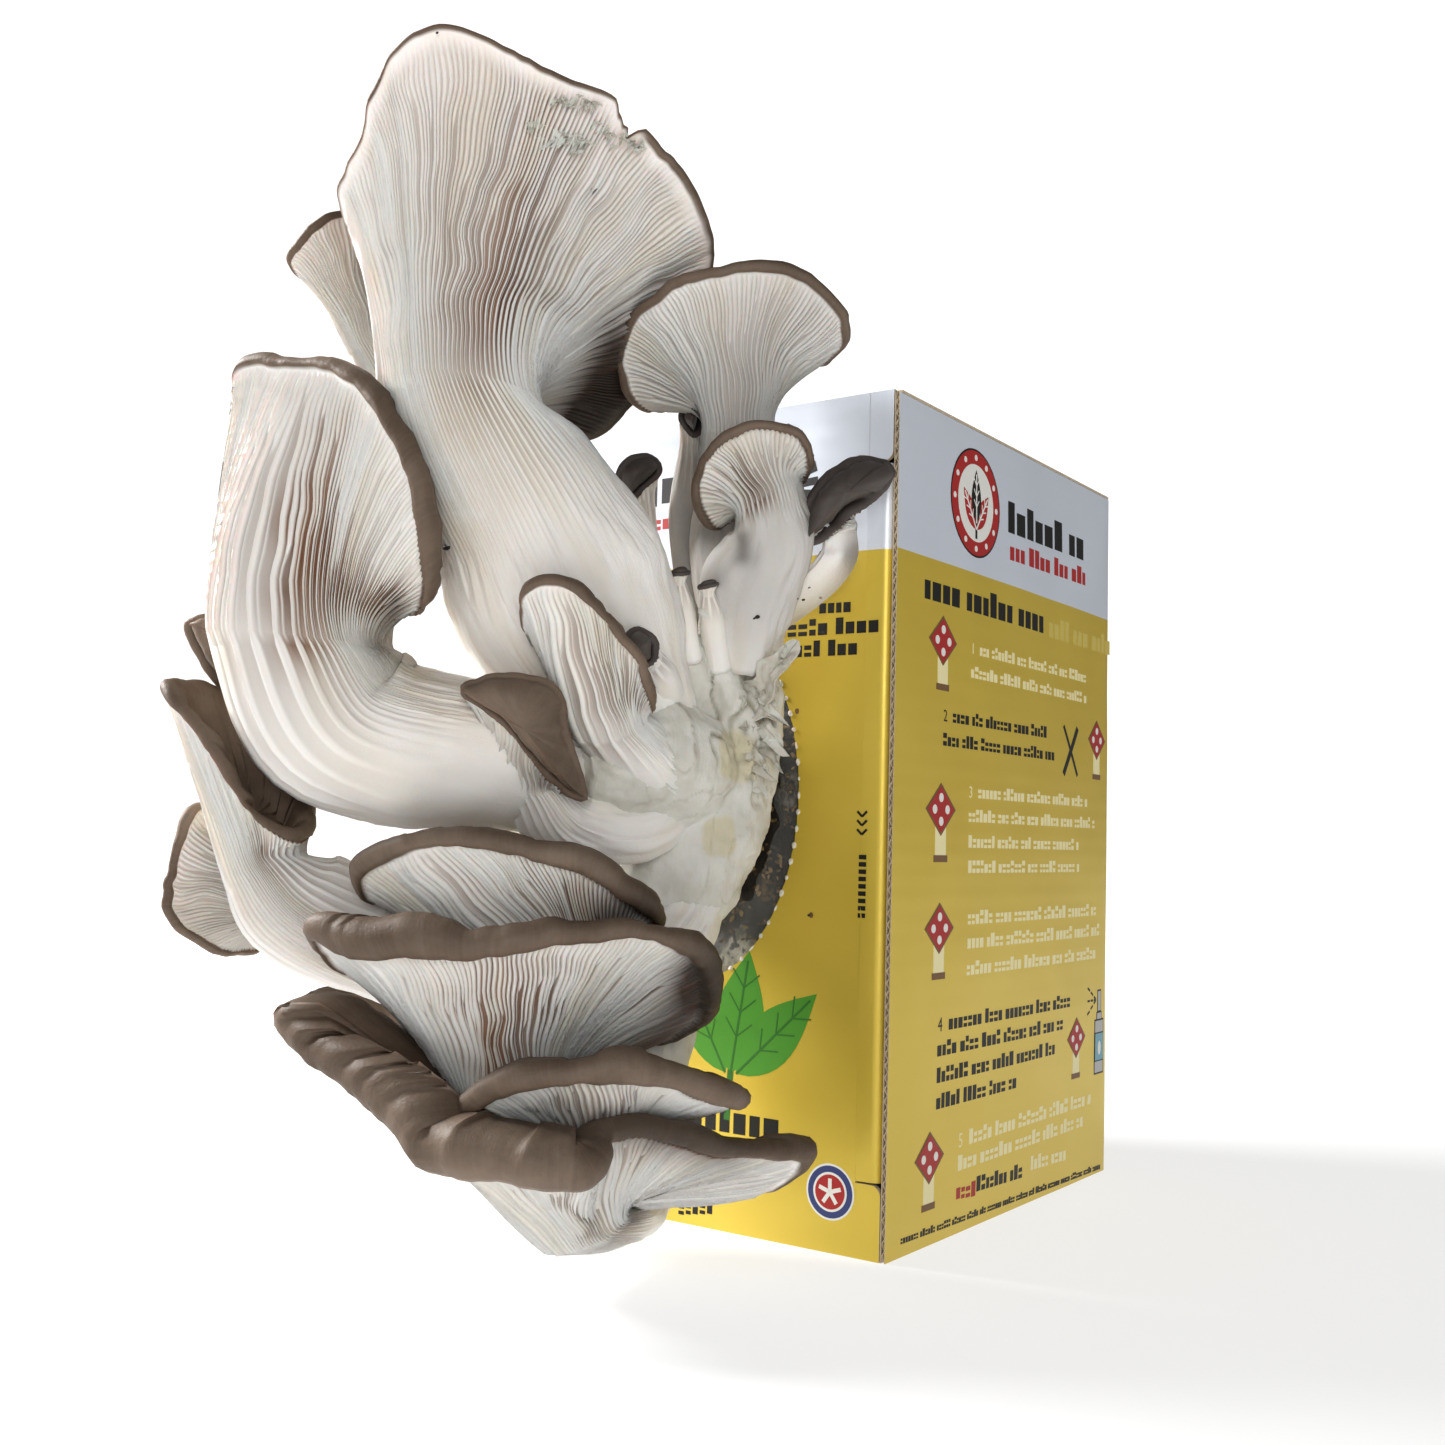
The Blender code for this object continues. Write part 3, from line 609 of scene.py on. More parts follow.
INKS = {"black": (0.012, 0.011, 0.010), "red": (0.42, 0.028, 0.026), "white": (0.80, 0.79, 0.74),
        "cream": (0.86, 0.78, 0.46), "green": (0.085, 0.30, 0.035), "deep_green": (0.04, 0.17, 0.03),
        "navy": (0.045, 0.065, 0.20), "brown": (0.20, 0.11, 0.045), "blue": (0.20, 0.42, 0.50),
        "pale": (0.62, 0.50, 0.13), "grey": (0.50, 0.50, 0.49)}
INK_NAMES = list(INKS)
INK_FINISHES = [ink_finish("ink_" + name, colour) for name, colour in INKS.items()]


class Printed:
    """Ink plates on one panel. They are given as outlines in millimetres along and up the panel."""

    def __init__(self, lay):
        self.lay, self.points, self.faces, self.inks, self.count = lay, [], [], [], 0

    def shape(self, outline, ink, layer=0):
        """One plate, cut into small triangles where it is large."""
        flat = bmesh.new()
        flat.faces.new([flat.verts.new((u, v, 0)) for u, v in outline])
        for _ in range(3):
            if any(edge.calc_length() > LONGEST_EDGE for edge in flat.edges):
                bmesh.ops.triangulate(flat, faces=flat.faces)
                bmesh.ops.subdivide_edges(flat, cuts=1, edges=[edge for edge in flat.edges
                                                               if edge.calc_length() > LONGEST_EDGE])
        flat.verts.index_update()
        spots = np.array([vertex.co[:2] for vertex in flat.verts])
        top = [[vertex.index for vertex in face.verts] for face in flat.faces]
        rim = [[loop.vert.index, loop.link_loop_next.vert.index]
               for edge in flat.edges if edge.is_boundary for loop in edge.link_loops]
        flat.free()
        self.add(spots, top, rim, ink, layer)

    def add(self, spots, top, rim, ink, layer):
        count, here = len(spots), self.count
        lift = INK_LIFT * (1 + layer)
        self.points += [self.lay(spots, lift), self.lay(spots, -INK_DEPTH)]
        made = [[here + k for k in face] for face in top]
        made += [[here + count + k for k in face[::-1]] for face in top]
        made += [[here + b, here + a, here + count + a, here + count + b] for a, b in rim]
        self.faces += made
        self.inks += [INK_NAMES.index(ink)] * len(made)
        self.count += 2 * count

    def block(self, low, high, ink, layer=0):
        (left, foot), (right, top) = low, high
        self.shape([(left, foot), (right, foot), (right, top), (left, top)], ink, layer)

    def disc(self, centre, radius, ink, layer=0, squash=1.0, sides=40):
        turns = np.linspace(0, 2 * pi, sides, endpoint=False)
        self.shape([(centre[0] + radius * cos(t), centre[1] + squash * radius * sin(t)) for t in turns],
                   ink, layer)

    def bar(self, start, end, thickness, ink, layer=0):
        """A stroke with square ends."""
        start, end = np.array(start, float), np.array(end, float)
        side = np.array([start[1] - end[1], end[0] - start[0]])
        side *= thickness / 2 / np.linalg.norm(side)
        self.shape([start - side, end - side, end + side, start + side], ink, layer)

    def words(self, start, end, height, ink, seed, bold=0.5):
        """A row of blocks in groups. Some are taller, and some are parted in the middle."""
        dice = np.random.default_rng(seed)
        (here, low), (last, level) = start, end
        slope, left = (level - low) / (last - here), dice.integers(3, 8)
        while here < last:
            wide = height * bold * dice.uniform(0.8, 1.25)
            foot = low + slope * (here - start[0])
            tall = height * dice.choice([0.68, 0.68, 0.68, 0.95])
            parts = [(0, 1)] if height > LARGEST_PARTED or dice.random() < 0.5 else [(0, 0.36), (0.60, 1)]
            for bottom, top in parts:
                spots = np.array([(here, foot + bottom * tall), (here + wide, foot + bottom * tall),
                                  (here + wide, foot + top * tall), (here, foot + top * tall)])
                self.add(spots, [[0, 1, 2, 3]], [(0, 1), (1, 2), (2, 3), (3, 0)], ink, 0)
            here += wide + 0.16 * height
            left -= 1
            if left == 0:
                here, left = here + 0.42 * height, dice.integers(3, 8)

    def number(self, figure, place, height, ink):
        """A figure in the plain built-in typeface."""
        text = bpy.data.curves.new("figure", "FONT")
        text.body, text.size, text.resolution_u = str(figure), height * 1.4, 2
        thing = bpy.data.objects.new("figure", text)
        mesh = bpy.data.meshes.new_from_object(thing)
        spots = np.array([vertex.co[:2] for vertex in mesh.vertices]) + place
        top = [list(face.vertices) for face in mesh.polygons]
        edges = [pair for face in top for pair in zip(face, face[1:] + face[:1])]
        rim = [(a, b) for a, b in edges if (b, a) not in edges]
        self.add(spots, top, rim, ink, 0)
        bpy.data.objects.remove(thing)
        bpy.data.curves.remove(text)
        bpy.data.meshes.remove(mesh)

    def piece(self, name):
        mesh = closed_mesh(name, np.concatenate(self.points), self.faces, INK_FINISHES, self.inks)
        thing = bpy.data.objects.new(name, mesh)
        bpy.context.scene.collection.objects.link(thing)
        keep(thing, "printed_board")


def lay_on_front(spots, lift):
    points = np.column_stack([spots[:, 0], np.full(len(spots), FRONT), spots[:, 1]])
    return bowed(points) - np.array([0, lift, 0])


def lay_on_right(spots, lift):
    points = np.column_stack([np.full(len(spots), SIDE), spots])
    return bowed(points) + np.array([lift, 0, 0])


front_print = Printed(lay_on_front)
for start, end, height, ink in (
        ((-24, 224), (-8.4, 225.5), 12, "black"), ((-23, 216), (-10, 216.5), 5, "red"),
        ((44, 185.2), (57, 185), 4.4, "black"), ((30, 178.8), (61, 178.6), 5.2, "black"),
        ((32, 172.5), (57, 172.3), 5, "black"), ((-5, 29.5), (37, 29), 9, "black"),
        ((-2, 2.5), (9.5, 4.5), 4.4, "black")):
    front_print.words(start, end, height, ink, seed=int(start[1]))
# A short line that runs up the lid's edge, and three arrow heads above it
for step in range(9):
    height = 96.5 + 2.1 * step
    front_print.bar((59.2, height), (61.6, height), 1.3, "black")
for step in range(3):
    height = 121.3 + 2.6 * step
    front_print.bar((58.4, height), (60, height - 1.5), 0.7, "black")
    front_print.bar((60, height - 1.5), (61.6, height), 0.7, "black")
# Wording set in an arch
for step in range(7):
    turn = radians(62 - 11.5 * step)
    middle = np.array([24 + 16 * cos(turn), 224 + 20 * sin(turn)])
    way = np.array([cos(turn), sin(turn)]) * 2.6
    front_print.bar(middle - way, middle + way, 2.4 if step % 2 else 3.2, "black")


def leaf(panel, base, tip, width, ink, vein, layer=0):
    """A pointed leaf with its midrib and side veins."""
    base, tip = np.array(base, float), np.array(tip, float)
    along = tip - base
    side = np.array([-along[1], along[0]]) / np.linalg.norm(along)
    shares = np.linspace(0, 1, 13)
    half = width / 2 * np.sin(pi * shares ** 0.8)[:, None]
    right = base + along * shares[:, None] - side * half
    left = base + along * shares[:, None] + side * half
    panel.shape(np.vstack([right, left[-2:0:-1]]), ink, layer)
    panel.bar(base, base + along * 0.92, 0.7, vein, layer + 1)
    for share in (0.3, 0.5, 0.7):
        for hand in (-1, 1):
            start = base + along * share
            panel.bar(start, start + along * 0.13 + hand * side * width * 0.27, 0.45, vein, layer + 1)


for base, tip, width in (((14, 47), (-4, 79), 15), ((16, 47), (22, 84), 18), ((18, 47), (46, 73), 16)):
    leaf(front_print, base, tip, width, "green", "deep_green")
front_print.bar((15, 33), (16, 48), 2.2, "deep_green")
BADGE = (51.8, 17.2)
for layer, (radius, ink) in enumerate(((8.0, "white"), (7.4, "navy"), (5.6, "white"), (4.9, "red"))):
    front_print.disc(BADGE, radius, ink, layer)
for ray in range(5):
    turn = ray * 2 * pi / 5 + pi / 2
    front_print.bar(BADGE, (BADGE[0] + 3.8 * cos(turn), BADGE[1] + 3.8 * sin(turn)), 1.2, "white", 4)
for spot in ((43.4, 95.8), (36.9, 156.2)):
    front_print.disc(spot, 0.75, "brown", sides=9, squash=1.2)
front_print.piece("carton_front_print")

right_print = Printed(lay_on_right)
for start, end, height, ink in (
        ((-9.5, 220.4), (55, 221.6), 11, "black"), ((-8.2, 211.4), (55, 212.6), 6.6, "red"),
        ((-66.6, 190.4), (20, 190.4), 8.4, "black"), ((24.5, 189.8), (79, 190), 7.6, "pale"),
        ((-74, 3.7), (77, 1), 2.3, "black")):
    right_print.words(start, end, height, ink, seed=int(start[1]))
# Paragraphs: left end, height, ink, step number, and each line's foot and right end
for left, height, ink, figure, lines in (
        (-36, 3.9, "cream", 1, ((177.2, 59), (169.7, 58))),
        (-54, 4.1, "black", 2, ((154.7, 22), (147.3, 29))),
        (-36.6, 4.1, "cream", 3, ((132.2, 59), (124.7, 67), (116.7, 50), (108.9, 53))),
        (-36.3, 4.5, "cream", None, ((93.1, 69), (85.7, 74), (77.5, 69.5))),
        (-54.4, 4.7, "black", 4, ((61.9, 44), (54.6, 40), (46.8, 32), (39.1, 1.4))),
        (-39.5, 4.9, "cream", 5, ((25.8, 66), (18.8, 59)))):
    for line, (foot, right) in enumerate(lines):
        start = left + (1.5 * height if figure and line == 0 else 0)
        right_print.words((start, foot), (right, foot), height, ink, seed=100 + int(foot))
    if figure:
        right_print.number(figure, (left, lines[0][0]), 0.9 * height, ink)
for left, right, ink in ((-39.9, -28, "red"), (-26, 6, "black"), (15, 46, "cream")):
    right_print.words((left, 10.4), (right, 9.2), 4.9, ink, seed=int(right + 60))
right_print.bar((37.5, 143), (50.5, 160), 2.3, "black")
right_print.bar((50.5, 143), (37.5, 160), 1.5, "black")


def marker(panel, centre, size):
    """A step marker: a red diamond with white dots, standing on a cream block."""
    u, v = centre
    for half, foot, top, ink, layer in ((0.36, 1.5, 0.5, "cream", 0), (0.45, 1.68, 1.46, "brown", 1)):
        panel.block((u - half * size, v - foot * size), (u + half * size, v - top * size), ink, layer)
    for reach, ink, layer in ((1.0, "brown", 1), (0.88, "red", 2)):
        panel.shape([(u, v + 0.85 * reach * size), (u - reach * size, v), (u, v - 0.85 * reach * size),
                     (u + reach * size, v)], ink, layer)
    for across, up in ((0, 0.38), (-0.42, 0), (0.42, 0), (0, -0.38)):
        panel.disc((u + across * size, v + up * size), size * 0.15, "white", 3, sides=14)


for place, size in (((-54.8, 179), 9), ((69.9, 157), 8.6), ((-54.8, 128), 9.4), ((-54.7, 92.5), 9),
                    ((52.5, 50.5), 8.4), ((-57.9, 25.5), 9)):
    marker(right_print, place, size)
# The emblem by the heading: a sprig in a ring
EMBLEM = (-33.3, 225.4)
for layer, (radius, ink) in enumerate(((17.4, "black"), (16.8, "red"), (12.4, "white"))):
    right_print.disc(EMBLEM, radius, ink, layer)
leaf(right_print, (-33.3, 217), (-42, 229), 6.5, "red", "white", 3)
leaf(right_print, (-33.3, 217), (-24.6, 229), 6.5, "red", "white", 3)
leaf(right_print, (-33.3, 219), (-33.3, 236), 6.5, "black", "white", 4)
right_print.bar((-33.3, 214), (-33.3, 220), 1.3, "black", 3)
for dot in range(12):
    turn = dot * pi / 6
    spot = (EMBLEM[0] + 14.6 * cos(turn), EMBLEM[1] + 14.6 * sin(turn))
    right_print.disc(spot, 1.0, "white", 2, sides=12)
# The bottle beside step 4, and three dashes for its spray
BOTTLE = 74.6
for half, low, top, ink, layer in (
        (4.6, 35.6, 55.4, "black", 0), (4.0, 36.2, 54.8, "grey", 1), (4.3, 40.2, 50.6, "black", 2),
        (4.0, 40.6, 50.2, "blue", 3), (2.7, 55.0, 58.0, "black", 0), (2.2, 55.4, 57.6, "grey", 1),
        (1.9, 58.0, 66.0, "black", 0), (1.4, 58.4, 65.4, "grey", 1)):
    right_print.block((BOTTLE - half, low), (BOTTLE + half, top), ink, layer)
right_print.disc((BOTTLE, 45), 1.5, "white", 4, squash=1.7, sides=16)
for rise in (-5, 0, 5):
    for share in (0.25, 0.6, 0.95):
        here = np.array([BOTTLE - 3.4 - 9 * share, 62.5 + rise * share])
        right_print.bar(here, here + (2.2, -0.22 * rise), 0.8, "black")
right_print.piece("carton_right_print")


# Substrate block
# A block of damp sawdust and grain, pressed in its bag and grown through with white threads. Its
# face behind the window is dark and crumbly, with pale patches of growth and whole golden grains.

BLOCK_LOW, BLOCK_HIGH = np.array(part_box("substrate_block")) / MM
CRUMB_STEP = 1.4


def block_finish():
    """Dark wet crumbs, pale growth in patches, specks of both."""
    sawdust = Finish("sawdust", specular_ior_level=0.5, coat_roughness=0.12)
    place = sawdust.object_place()
    crumbs = sawdust.node("TexVoronoi", {"Vector": place, "Scale": 520.0}, out="Distance")
    shred = sawdust.noise(sawdust.scaled(place, 1, 1, 0.45), 420, 4, 0.7)
    patch = sawdust.noise(place, 42, 4, 0.6, 0.4)
    spot = sawdust.noise(place, 260, 2, 0.5)
    dark = sawdust.mix(shred, (0.005, 0.004, 0.0035), (0.045, 0.036, 0.028))
    dark = sawdust.mix(sawdust.rise(spot, 0.60, 0.72), dark, (0.13, 0.080, 0.035))
    growth = sawdust.mix(crumbs, (0.24, 0.22, 0.17), (0.46, 0.43, 0.35))
    growth = sawdust.mix(sawdust.rise(spot, 0.56, 0.64), growth, (0.02, 0.015, 0.01))
    colour = sawdust.mix(sawdust.rise(patch, 0.52, 0.64), dark, growth)
    return sawdust.wear(base_color=colour, roughness=0.35 + 0.4 * shred, coat_weight=0.12,
                        normal=sawdust.bump(shred, 0.0008, 0.8))


def block_mesh():
    """Its front as a fine crumbly grid, with plain sides and a plain back."""
    xs = np.arange(BLOCK_LOW[0], BLOCK_HIGH[0], CRUMB_STEP)
    zs = np.arange(BLOCK_LOW[2], BLOCK_HIGH[2], CRUMB_STEP)
    grid = np.stack(np.meshgrid(xs, [BLOCK_LOW[1]], zs, indexing="ij"), -1)[:, 0]
    x, _, z = grid.T.transpose(0, 2, 1)
    rim = np.minimum.reduce([x - BLOCK_LOW[0], BLOCK_HIGH[0] - x, z - BLOCK_LOW[2], BLOCK_HIGH[2] - z])
    fall = 5 * (1 - np.clip(rim / 7, 0, 1)) ** 2
    crumb = 0.9 + 0.5 * ripple(grid, 2.2, 41) + 0.35 * ripple(grid, 1.1, 42) + 0.6 * ripple(grid, 9, 43)
    front = grid.copy()
    front[..., 1] += fall + np.clip(crumb, 0, 3)
    rear = grid.copy()
    rear[..., 1] = BLOCK_HIGH[1]
    return sheet_mesh("substrate_block.pressed", front, rear, (SAWDUST,))


SAWDUST = block_finish()
keep(show(block_mesh()), "sawdust", "substrate_block")


def grain_finish():
    """Husks of grain, from straw to brown."""
    husk = Finish("grain_husk", roughness=0.5, specular_ior_level=0.4)
    tone = husk.noise(husk.object_place(), 240, 2, 0.5)
    return husk.wear(base_color=husk.mix(husk.rise(tone, 0.35, 0.65), (0.055, 0.035, 0.018),
                                         (0.36, 0.24, 0.10)))


def grain_tree():
    """Grains strewn at random over a field, turned and sized at random."""
    tree, given = nodes_tree("strewn_grains", [("Grain", "Object", None), ("Field", "Object", None),
                                               ("Density", "Float", 1.0), ("Seed", "Int", 0)])
    grain = tree_node(tree, "ObjectInfo", {"Object": given.outputs["Grain"]})
    field = tree_node(tree, "ObjectInfo", {"Object": given.outputs["Field"]})
    spots = tree_node(tree, "DistributePointsOnFaces", {"Mesh": field.outputs["Geometry"],
                                                        "Density": given.outputs["Density"],
                                                        "Seed": given.outputs["Seed"]})
    turn = tree_node(tree, "RandomValue", {"Max": (0.6, 6.28, 0.6)}, prefix="FunctionNode",
                     data_type="FLOAT_VECTOR")
    size = tree_node(tree, "RandomValue", {2: 0.5, 3: 1.25}, prefix="FunctionNode", data_type="FLOAT")
    strewn = tree_node(tree, "InstanceOnPoints", {"Points": spots.outputs["Points"],
                                                  "Instance": grain.outputs["Geometry"],
                                                  "Rotation": turn.outputs[0], "Scale": size.outputs[1]})
    end_tree(tree, strewn.outputs[0], HUSK)
    return tree


HUSK = grain_finish()
GRAIN_HALVES = (1.15, 0.55, 0.6)
GRAIN_FIELD = (4, 44, 84, 182)
GRAINS_PER_SQUARE_METRE = 90000
pip = bmesh.new()
bmesh.ops.create_icosphere(pip, subdivisions=2, radius=MM, matrix=Matrix.Diagonal((*GRAIN_HALVES, 1)))
left, right, low, high = GRAIN_FIELD
depth = BLOCK_LOW[1] + 1.0
field_mesh = bpy.data.meshes.new("grain_field")
field_mesh.from_pydata([Vector(spot) * MM for spot in ((left, depth, low), (right, depth, low),
                                                       (right, depth, high), (left, depth, high))],
                       [], [(0, 1, 2, 3)])
pip_thing, field_thing = show(mesh_of(pip, "grain")), show(field_mesh)
grains = grown_by(grain_tree(), "substrate_block.grains", grain=pip_thing, field=field_thing,
                  density=GRAINS_PER_SQUARE_METRE, seed=4)
for pattern in (pip_thing, field_thing):
    bpy.data.objects.remove(pattern)
keep(grains, "sawdust")


# Bag of clear film
# The block's own bag: thin clear film that clings to it and wrinkles where it was cut open. Only
# the ring between the window and the cut shows, with its glossy folds.

BAG_LOW, BAG_HIGH = np.array(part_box("grow_bag")) / MM
MOUTH_CENTRE = (2.0, 134.0)
MOUTH_HALF = (27.0, 44.0)
FILM_THICKNESS = 0.12
SPOKES = 240


def film_finish():
    """Clear glossy film, with a faint mist where it bunches up."""
    film = Finish("clear_film", roughness=0.2, base_color=(0.75, 0.77, 0.76, 1), specular_ior_level=0.35)
    place = film.object_place()
    mist = film.noise(place, 90, 3, 0.6)
    edge_on = film.node("LayerWeight", {"Blend": 0.25}, out="Facing")
    return film.wear(alpha=0.02 + 0.05 * mist + 0.22 * edge_on,
                     normal=film.bump(film.noise(place, 220, 3, 0.6, 1.5), 0.0006, 0.5))


def film_skin():
    """The bag's front round its cut, wrinkled, and then its plain sides and back."""
    turns = np.arange(SPOKES + 1) / SPOKES * 2 * pi
    ray = np.column_stack([np.cos(turns), np.sin(turns)])
    centre = np.array([(BAG_LOW[0] + BAG_HIGH[0]) / 2, (BAG_LOW[2] + BAG_HIGH[2]) / 2])
    half = np.array([BAG_HIGH[0] - BAG_LOW[0], BAG_HIGH[2] - BAG_LOW[2]]) / 2
    wall = half / (np.abs(ray) ** 8 @ np.ones(2))[:, None] ** (1 / 8) * ray + centre
    mouth = ray * MOUTH_HALF * (1 + 0.05 * ripple(np.column_stack([ray, turns * 0]), 0.12, 51)[:, None])
    mouth = mouth + MOUTH_CENTRE
    rows = []
    for share in np.concatenate([np.linspace(0, 0.35, 26), np.linspace(0.45, 1, 8)]):
        flat = mouth * (1 - share) + wall * share
        place = np.column_stack([flat, np.zeros(len(flat))])
        folds = 0.5 * ripple(place * (1, 0.35, 1), 3.5, 52) + 0.3 * ripple(place, 1.8, 53)
        lift = 0.15 + 0.35 * (1 + folds) * (1 - share) ** 2
        rows.append(np.column_stack([flat[:, 0], BAG_LOW[1] + 0.9 - lift, flat[:, 1]]))
    deep = BAG_HIGH[1] - BAG_LOW[1]
    for back, draw in ((3.0, 0.99), (20.0, 1.0), (deep - 5, 1.0), (deep - 0.5, 0.97), (deep - 0.2, 0.4)):
        flat = centre + (wall - centre) * draw
        rows.append(np.column_stack([flat[:, 0], np.full(len(flat), BAG_LOW[1] + back), flat[:, 1]]))
    outer = np.array(rows)
    ways = unit(np.cross(np.gradient(outer, axis=1), np.gradient(outer, axis=0)))
    middle = np.array([centre[0], 0, centre[1]])
    ways *= np.sign(np.sum(ways * (outer - middle), axis=-1, keepdims=True))
    return sheet_mesh("grow_bag.film", outer, outer - ways * FILM_THICKNESS, (film_finish(),))


keep(show(film_skin()), "clear_film", "grow_bag")


# Foot of the cluster
# The lumpy white mass that swells out of the cut in the bag, and that every mushroom grew from. It
# is one body, squeezed into folds under the youngest pins and smooth like a skin lower down.

# Each chain is a row of stations: a place, and the half sizes across the view and along it
FOOT_LUMPS = [
    [(26, -98, 191, 8, 6), (27, -101, 176, 12, 9), (25, -103, 158, 17, 12), (20, -105, 135, 21, 16),
     (15.5, -109, 113, 20.5, 17), (8.5, -116, 93, 17.5, 17), (6, -123, 65, 21, 16),
     (7, -127, 43, 18, 15), (12, -124, 24, 13, 11)],
    [(16, -108, 129, 15, 13), (17, -123, 137, 22, 18), (14, -138, 140, 21, 18), (7, -150, 137, 15, 14)],
    [(-2, -81.5, 134, 19, 36), (-1, -86.5, 134, 20, 37), (1, -92, 134, 18, 34), (5, -98, 134, 15, 28),
     (10, -104, 134, 11, 20)],
]
# The foot's root lies flat against the block
ROOT_DEPTH = -80.4
FOOT_FOLDS = [
    [(28, -130.5, 183, 3.1, 3), (24.5, -126.5, 175.5, 4.2, 4), (24, -120, 167, 4.6, 4.5),
     (26, -112, 154, 5, 5)],
    [(35, -127, 182, 3, 3), (32.5, -121.5, 173.5, 3.6, 3.5), (32, -115, 164, 4.4, 4),
     (33, -107, 152, 5, 5)],
    [(19.5, -125, 179, 2.4, 2.4), (18.5, -122.5, 171, 3.2, 3), (20.5, -118, 160, 4, 4),
     (22, -112, 147, 4, 4)],
    [(40.5, -106, 176, 2.4, 2.4), (39, -105, 168, 3.4, 3), (36.5, -103.5, 158, 4.6, 4),
     (35, -102, 146, 5, 5)],
]
FOOT_VOXEL = 0.85
TORN_PLACE = (38.0, -103.0, 148.0)
# Where the tissue is discoloured: centre, half sizes along the front and upward
FADED_PLACES = [((33.5, -107.5, 141.5), (5.6, 7.5)), ((28.0, -109.5, 118.5), (4.6, 6.0))]
# Across the view, for the half sizes of stems and lumps
BROADSIDE = np.array([0.82, 0.57, 0.0])


def smooth_curve(points, steps, closed=False):
    """Points of a Catmull-Rom curve, at places counted in control points from its start."""
    points = np.asarray(points, float)
    count = len(points)
    steps = np.asarray(steps, float)
    if closed:
        first = np.floor(steps).astype(int)
        corners = [points[(first + k) % count] for k in (-1, 0, 1, 2)]
    else:
        first = np.clip(np.floor(steps).astype(int), 0, count - 2)
        ends = np.vstack([2 * points[0] - points[1], points, 2 * points[-1] - points[-2]])
        corners = [ends[first + k] for k in (0, 1, 2, 3)]
    part = (steps - first)[:, None]
    a, b, c, d = corners
    return 0.5 * (2 * b + (c - a) * part + (2 * a - 5 * b + 4 * c - d) * part ** 2
                  + (3 * b - a - 3 * c + d) * part ** 3)


def square(way, start):
    """The direction nearest to start that is square to a way."""
    return unit(start - way * (start @ way))


def oval(centre, along, start, angles, half_sizes):
    """Points of an oval cross section, counted as angles from the direction called start."""
    across = np.cross(along, start)
    rays = np.cos(angles)[:, None] * start + np.sin(angles)[:, None] * across
    broad = square(along, BROADSIDE)
    deep = np.cross(along, broad)
    reach = 1 / np.sqrt((rays @ broad / half_sizes[0]) ** 2 + (rays @ deep / half_sizes[1]) ** 2)
    return centre + rays * reach[:, None]


def stem_sections(stations, rows, heading=None):
    """Centres, headings and half sizes of a stem's cross sections."""
    stations = np.asarray(stations, float)
    last = len(stations) - 1
    places = np.linspace(0, last, rows)
    centres = smooth_curve(stations[:, :3], places)
    ahead = smooth_curve(stations[:, :3], np.minimum(places + 0.01, last))
    behind = smooth_curve(stations[:, :3], np.maximum(places - 0.01, 0))
    along = unit(ahead - behind)
    if heading is not None:
        turn = np.clip(places - (last - 1), 0, 1)[:, None] ** 1.5
        along = unit(along * (1 - turn) + heading * turn)
    return centres, along, smooth_curve(stations[:, 3:5], places)


class Skin:
    """Rings of points, sewn one to the next into a closed mesh, with named values at each point."""

    def __init__(self):
        self.points, self.faces, self.values, self.rows, self.count = [], [], {}, [], 0

    def ring(self, points, **values):
        here = self.count + np.arange(len(points))
        self.count += len(points)
        self.points.append(np.asarray(points, float))
        for name, value in values.items():
            value = np.asarray(value, float)
            shape = (len(points),) if value.ndim < 2 else value.shape
            self.values.setdefault(name, []).append(np.broadcast_to(value, shape))
        if self.rows:
            self.sew(self.rows[-1], here)
        self.rows.append(here)

    def sew(self, low, high):
        """Quads between rings of one size, and fans where one has several times the points."""
        if len(low) == len(high):
            self.faces.append(np.stack([low, np.roll(low, -1), np.roll(high, -1), high], axis=1))
            return
        fine, coarse = (low, high) if len(low) > len(high) else (high, low)
        every = len(fine) // len(coarse)
        nearest = ((np.arange(len(fine)) + every // 2) // every) % len(coarse)
        after, next_nearest = np.roll(fine, -1), np.roll(nearest, -1)
        jumps = next_nearest != nearest
        fans = np.stack([fine, after, coarse[nearest]], axis=1)
        steps = np.stack([after, coarse[next_nearest], coarse[nearest]], axis=1)[jumps]
        faces = np.vstack([fans, steps])
        self.faces.append(faces if fine is low else faces[:, ::-1])

    def close(self, end):
        """A fan of triangles over the first or the last ring."""
        row = self.rows[end]
        ring = 0 if end == 0 else len(self.rows) - 1
        hub = np.full(len(row), self.count)
        self.count += 1
        self.points.append(self.points[ring].mean(axis=0)[None])
        for parts in self.values.values():
            parts.append(parts[ring].mean(axis=0)[None])
        fan = np.stack([row, np.roll(row, -1), hub], axis=1)
        self.faces.append(fan[:, ::-1] if end == 0 else fan)

    def piece(self, name, looks):
        """A finished object that holds the named values."""
        corners = [face for block in self.faces for face in block.tolist()]
        mesh = closed_mesh(name, np.concatenate(self.points), corners, [looks])
        for value, parts in self.values.items():
            table = np.concatenate(parts).astype(np.float32)
            kind, slot = ("FLOAT", "value") if table.ndim == 1 else ("FLOAT_VECTOR", "vector")
            mesh.attributes.new(value, kind, "POINT").data.foreach_set(slot, table.ravel())
        return show(mesh)


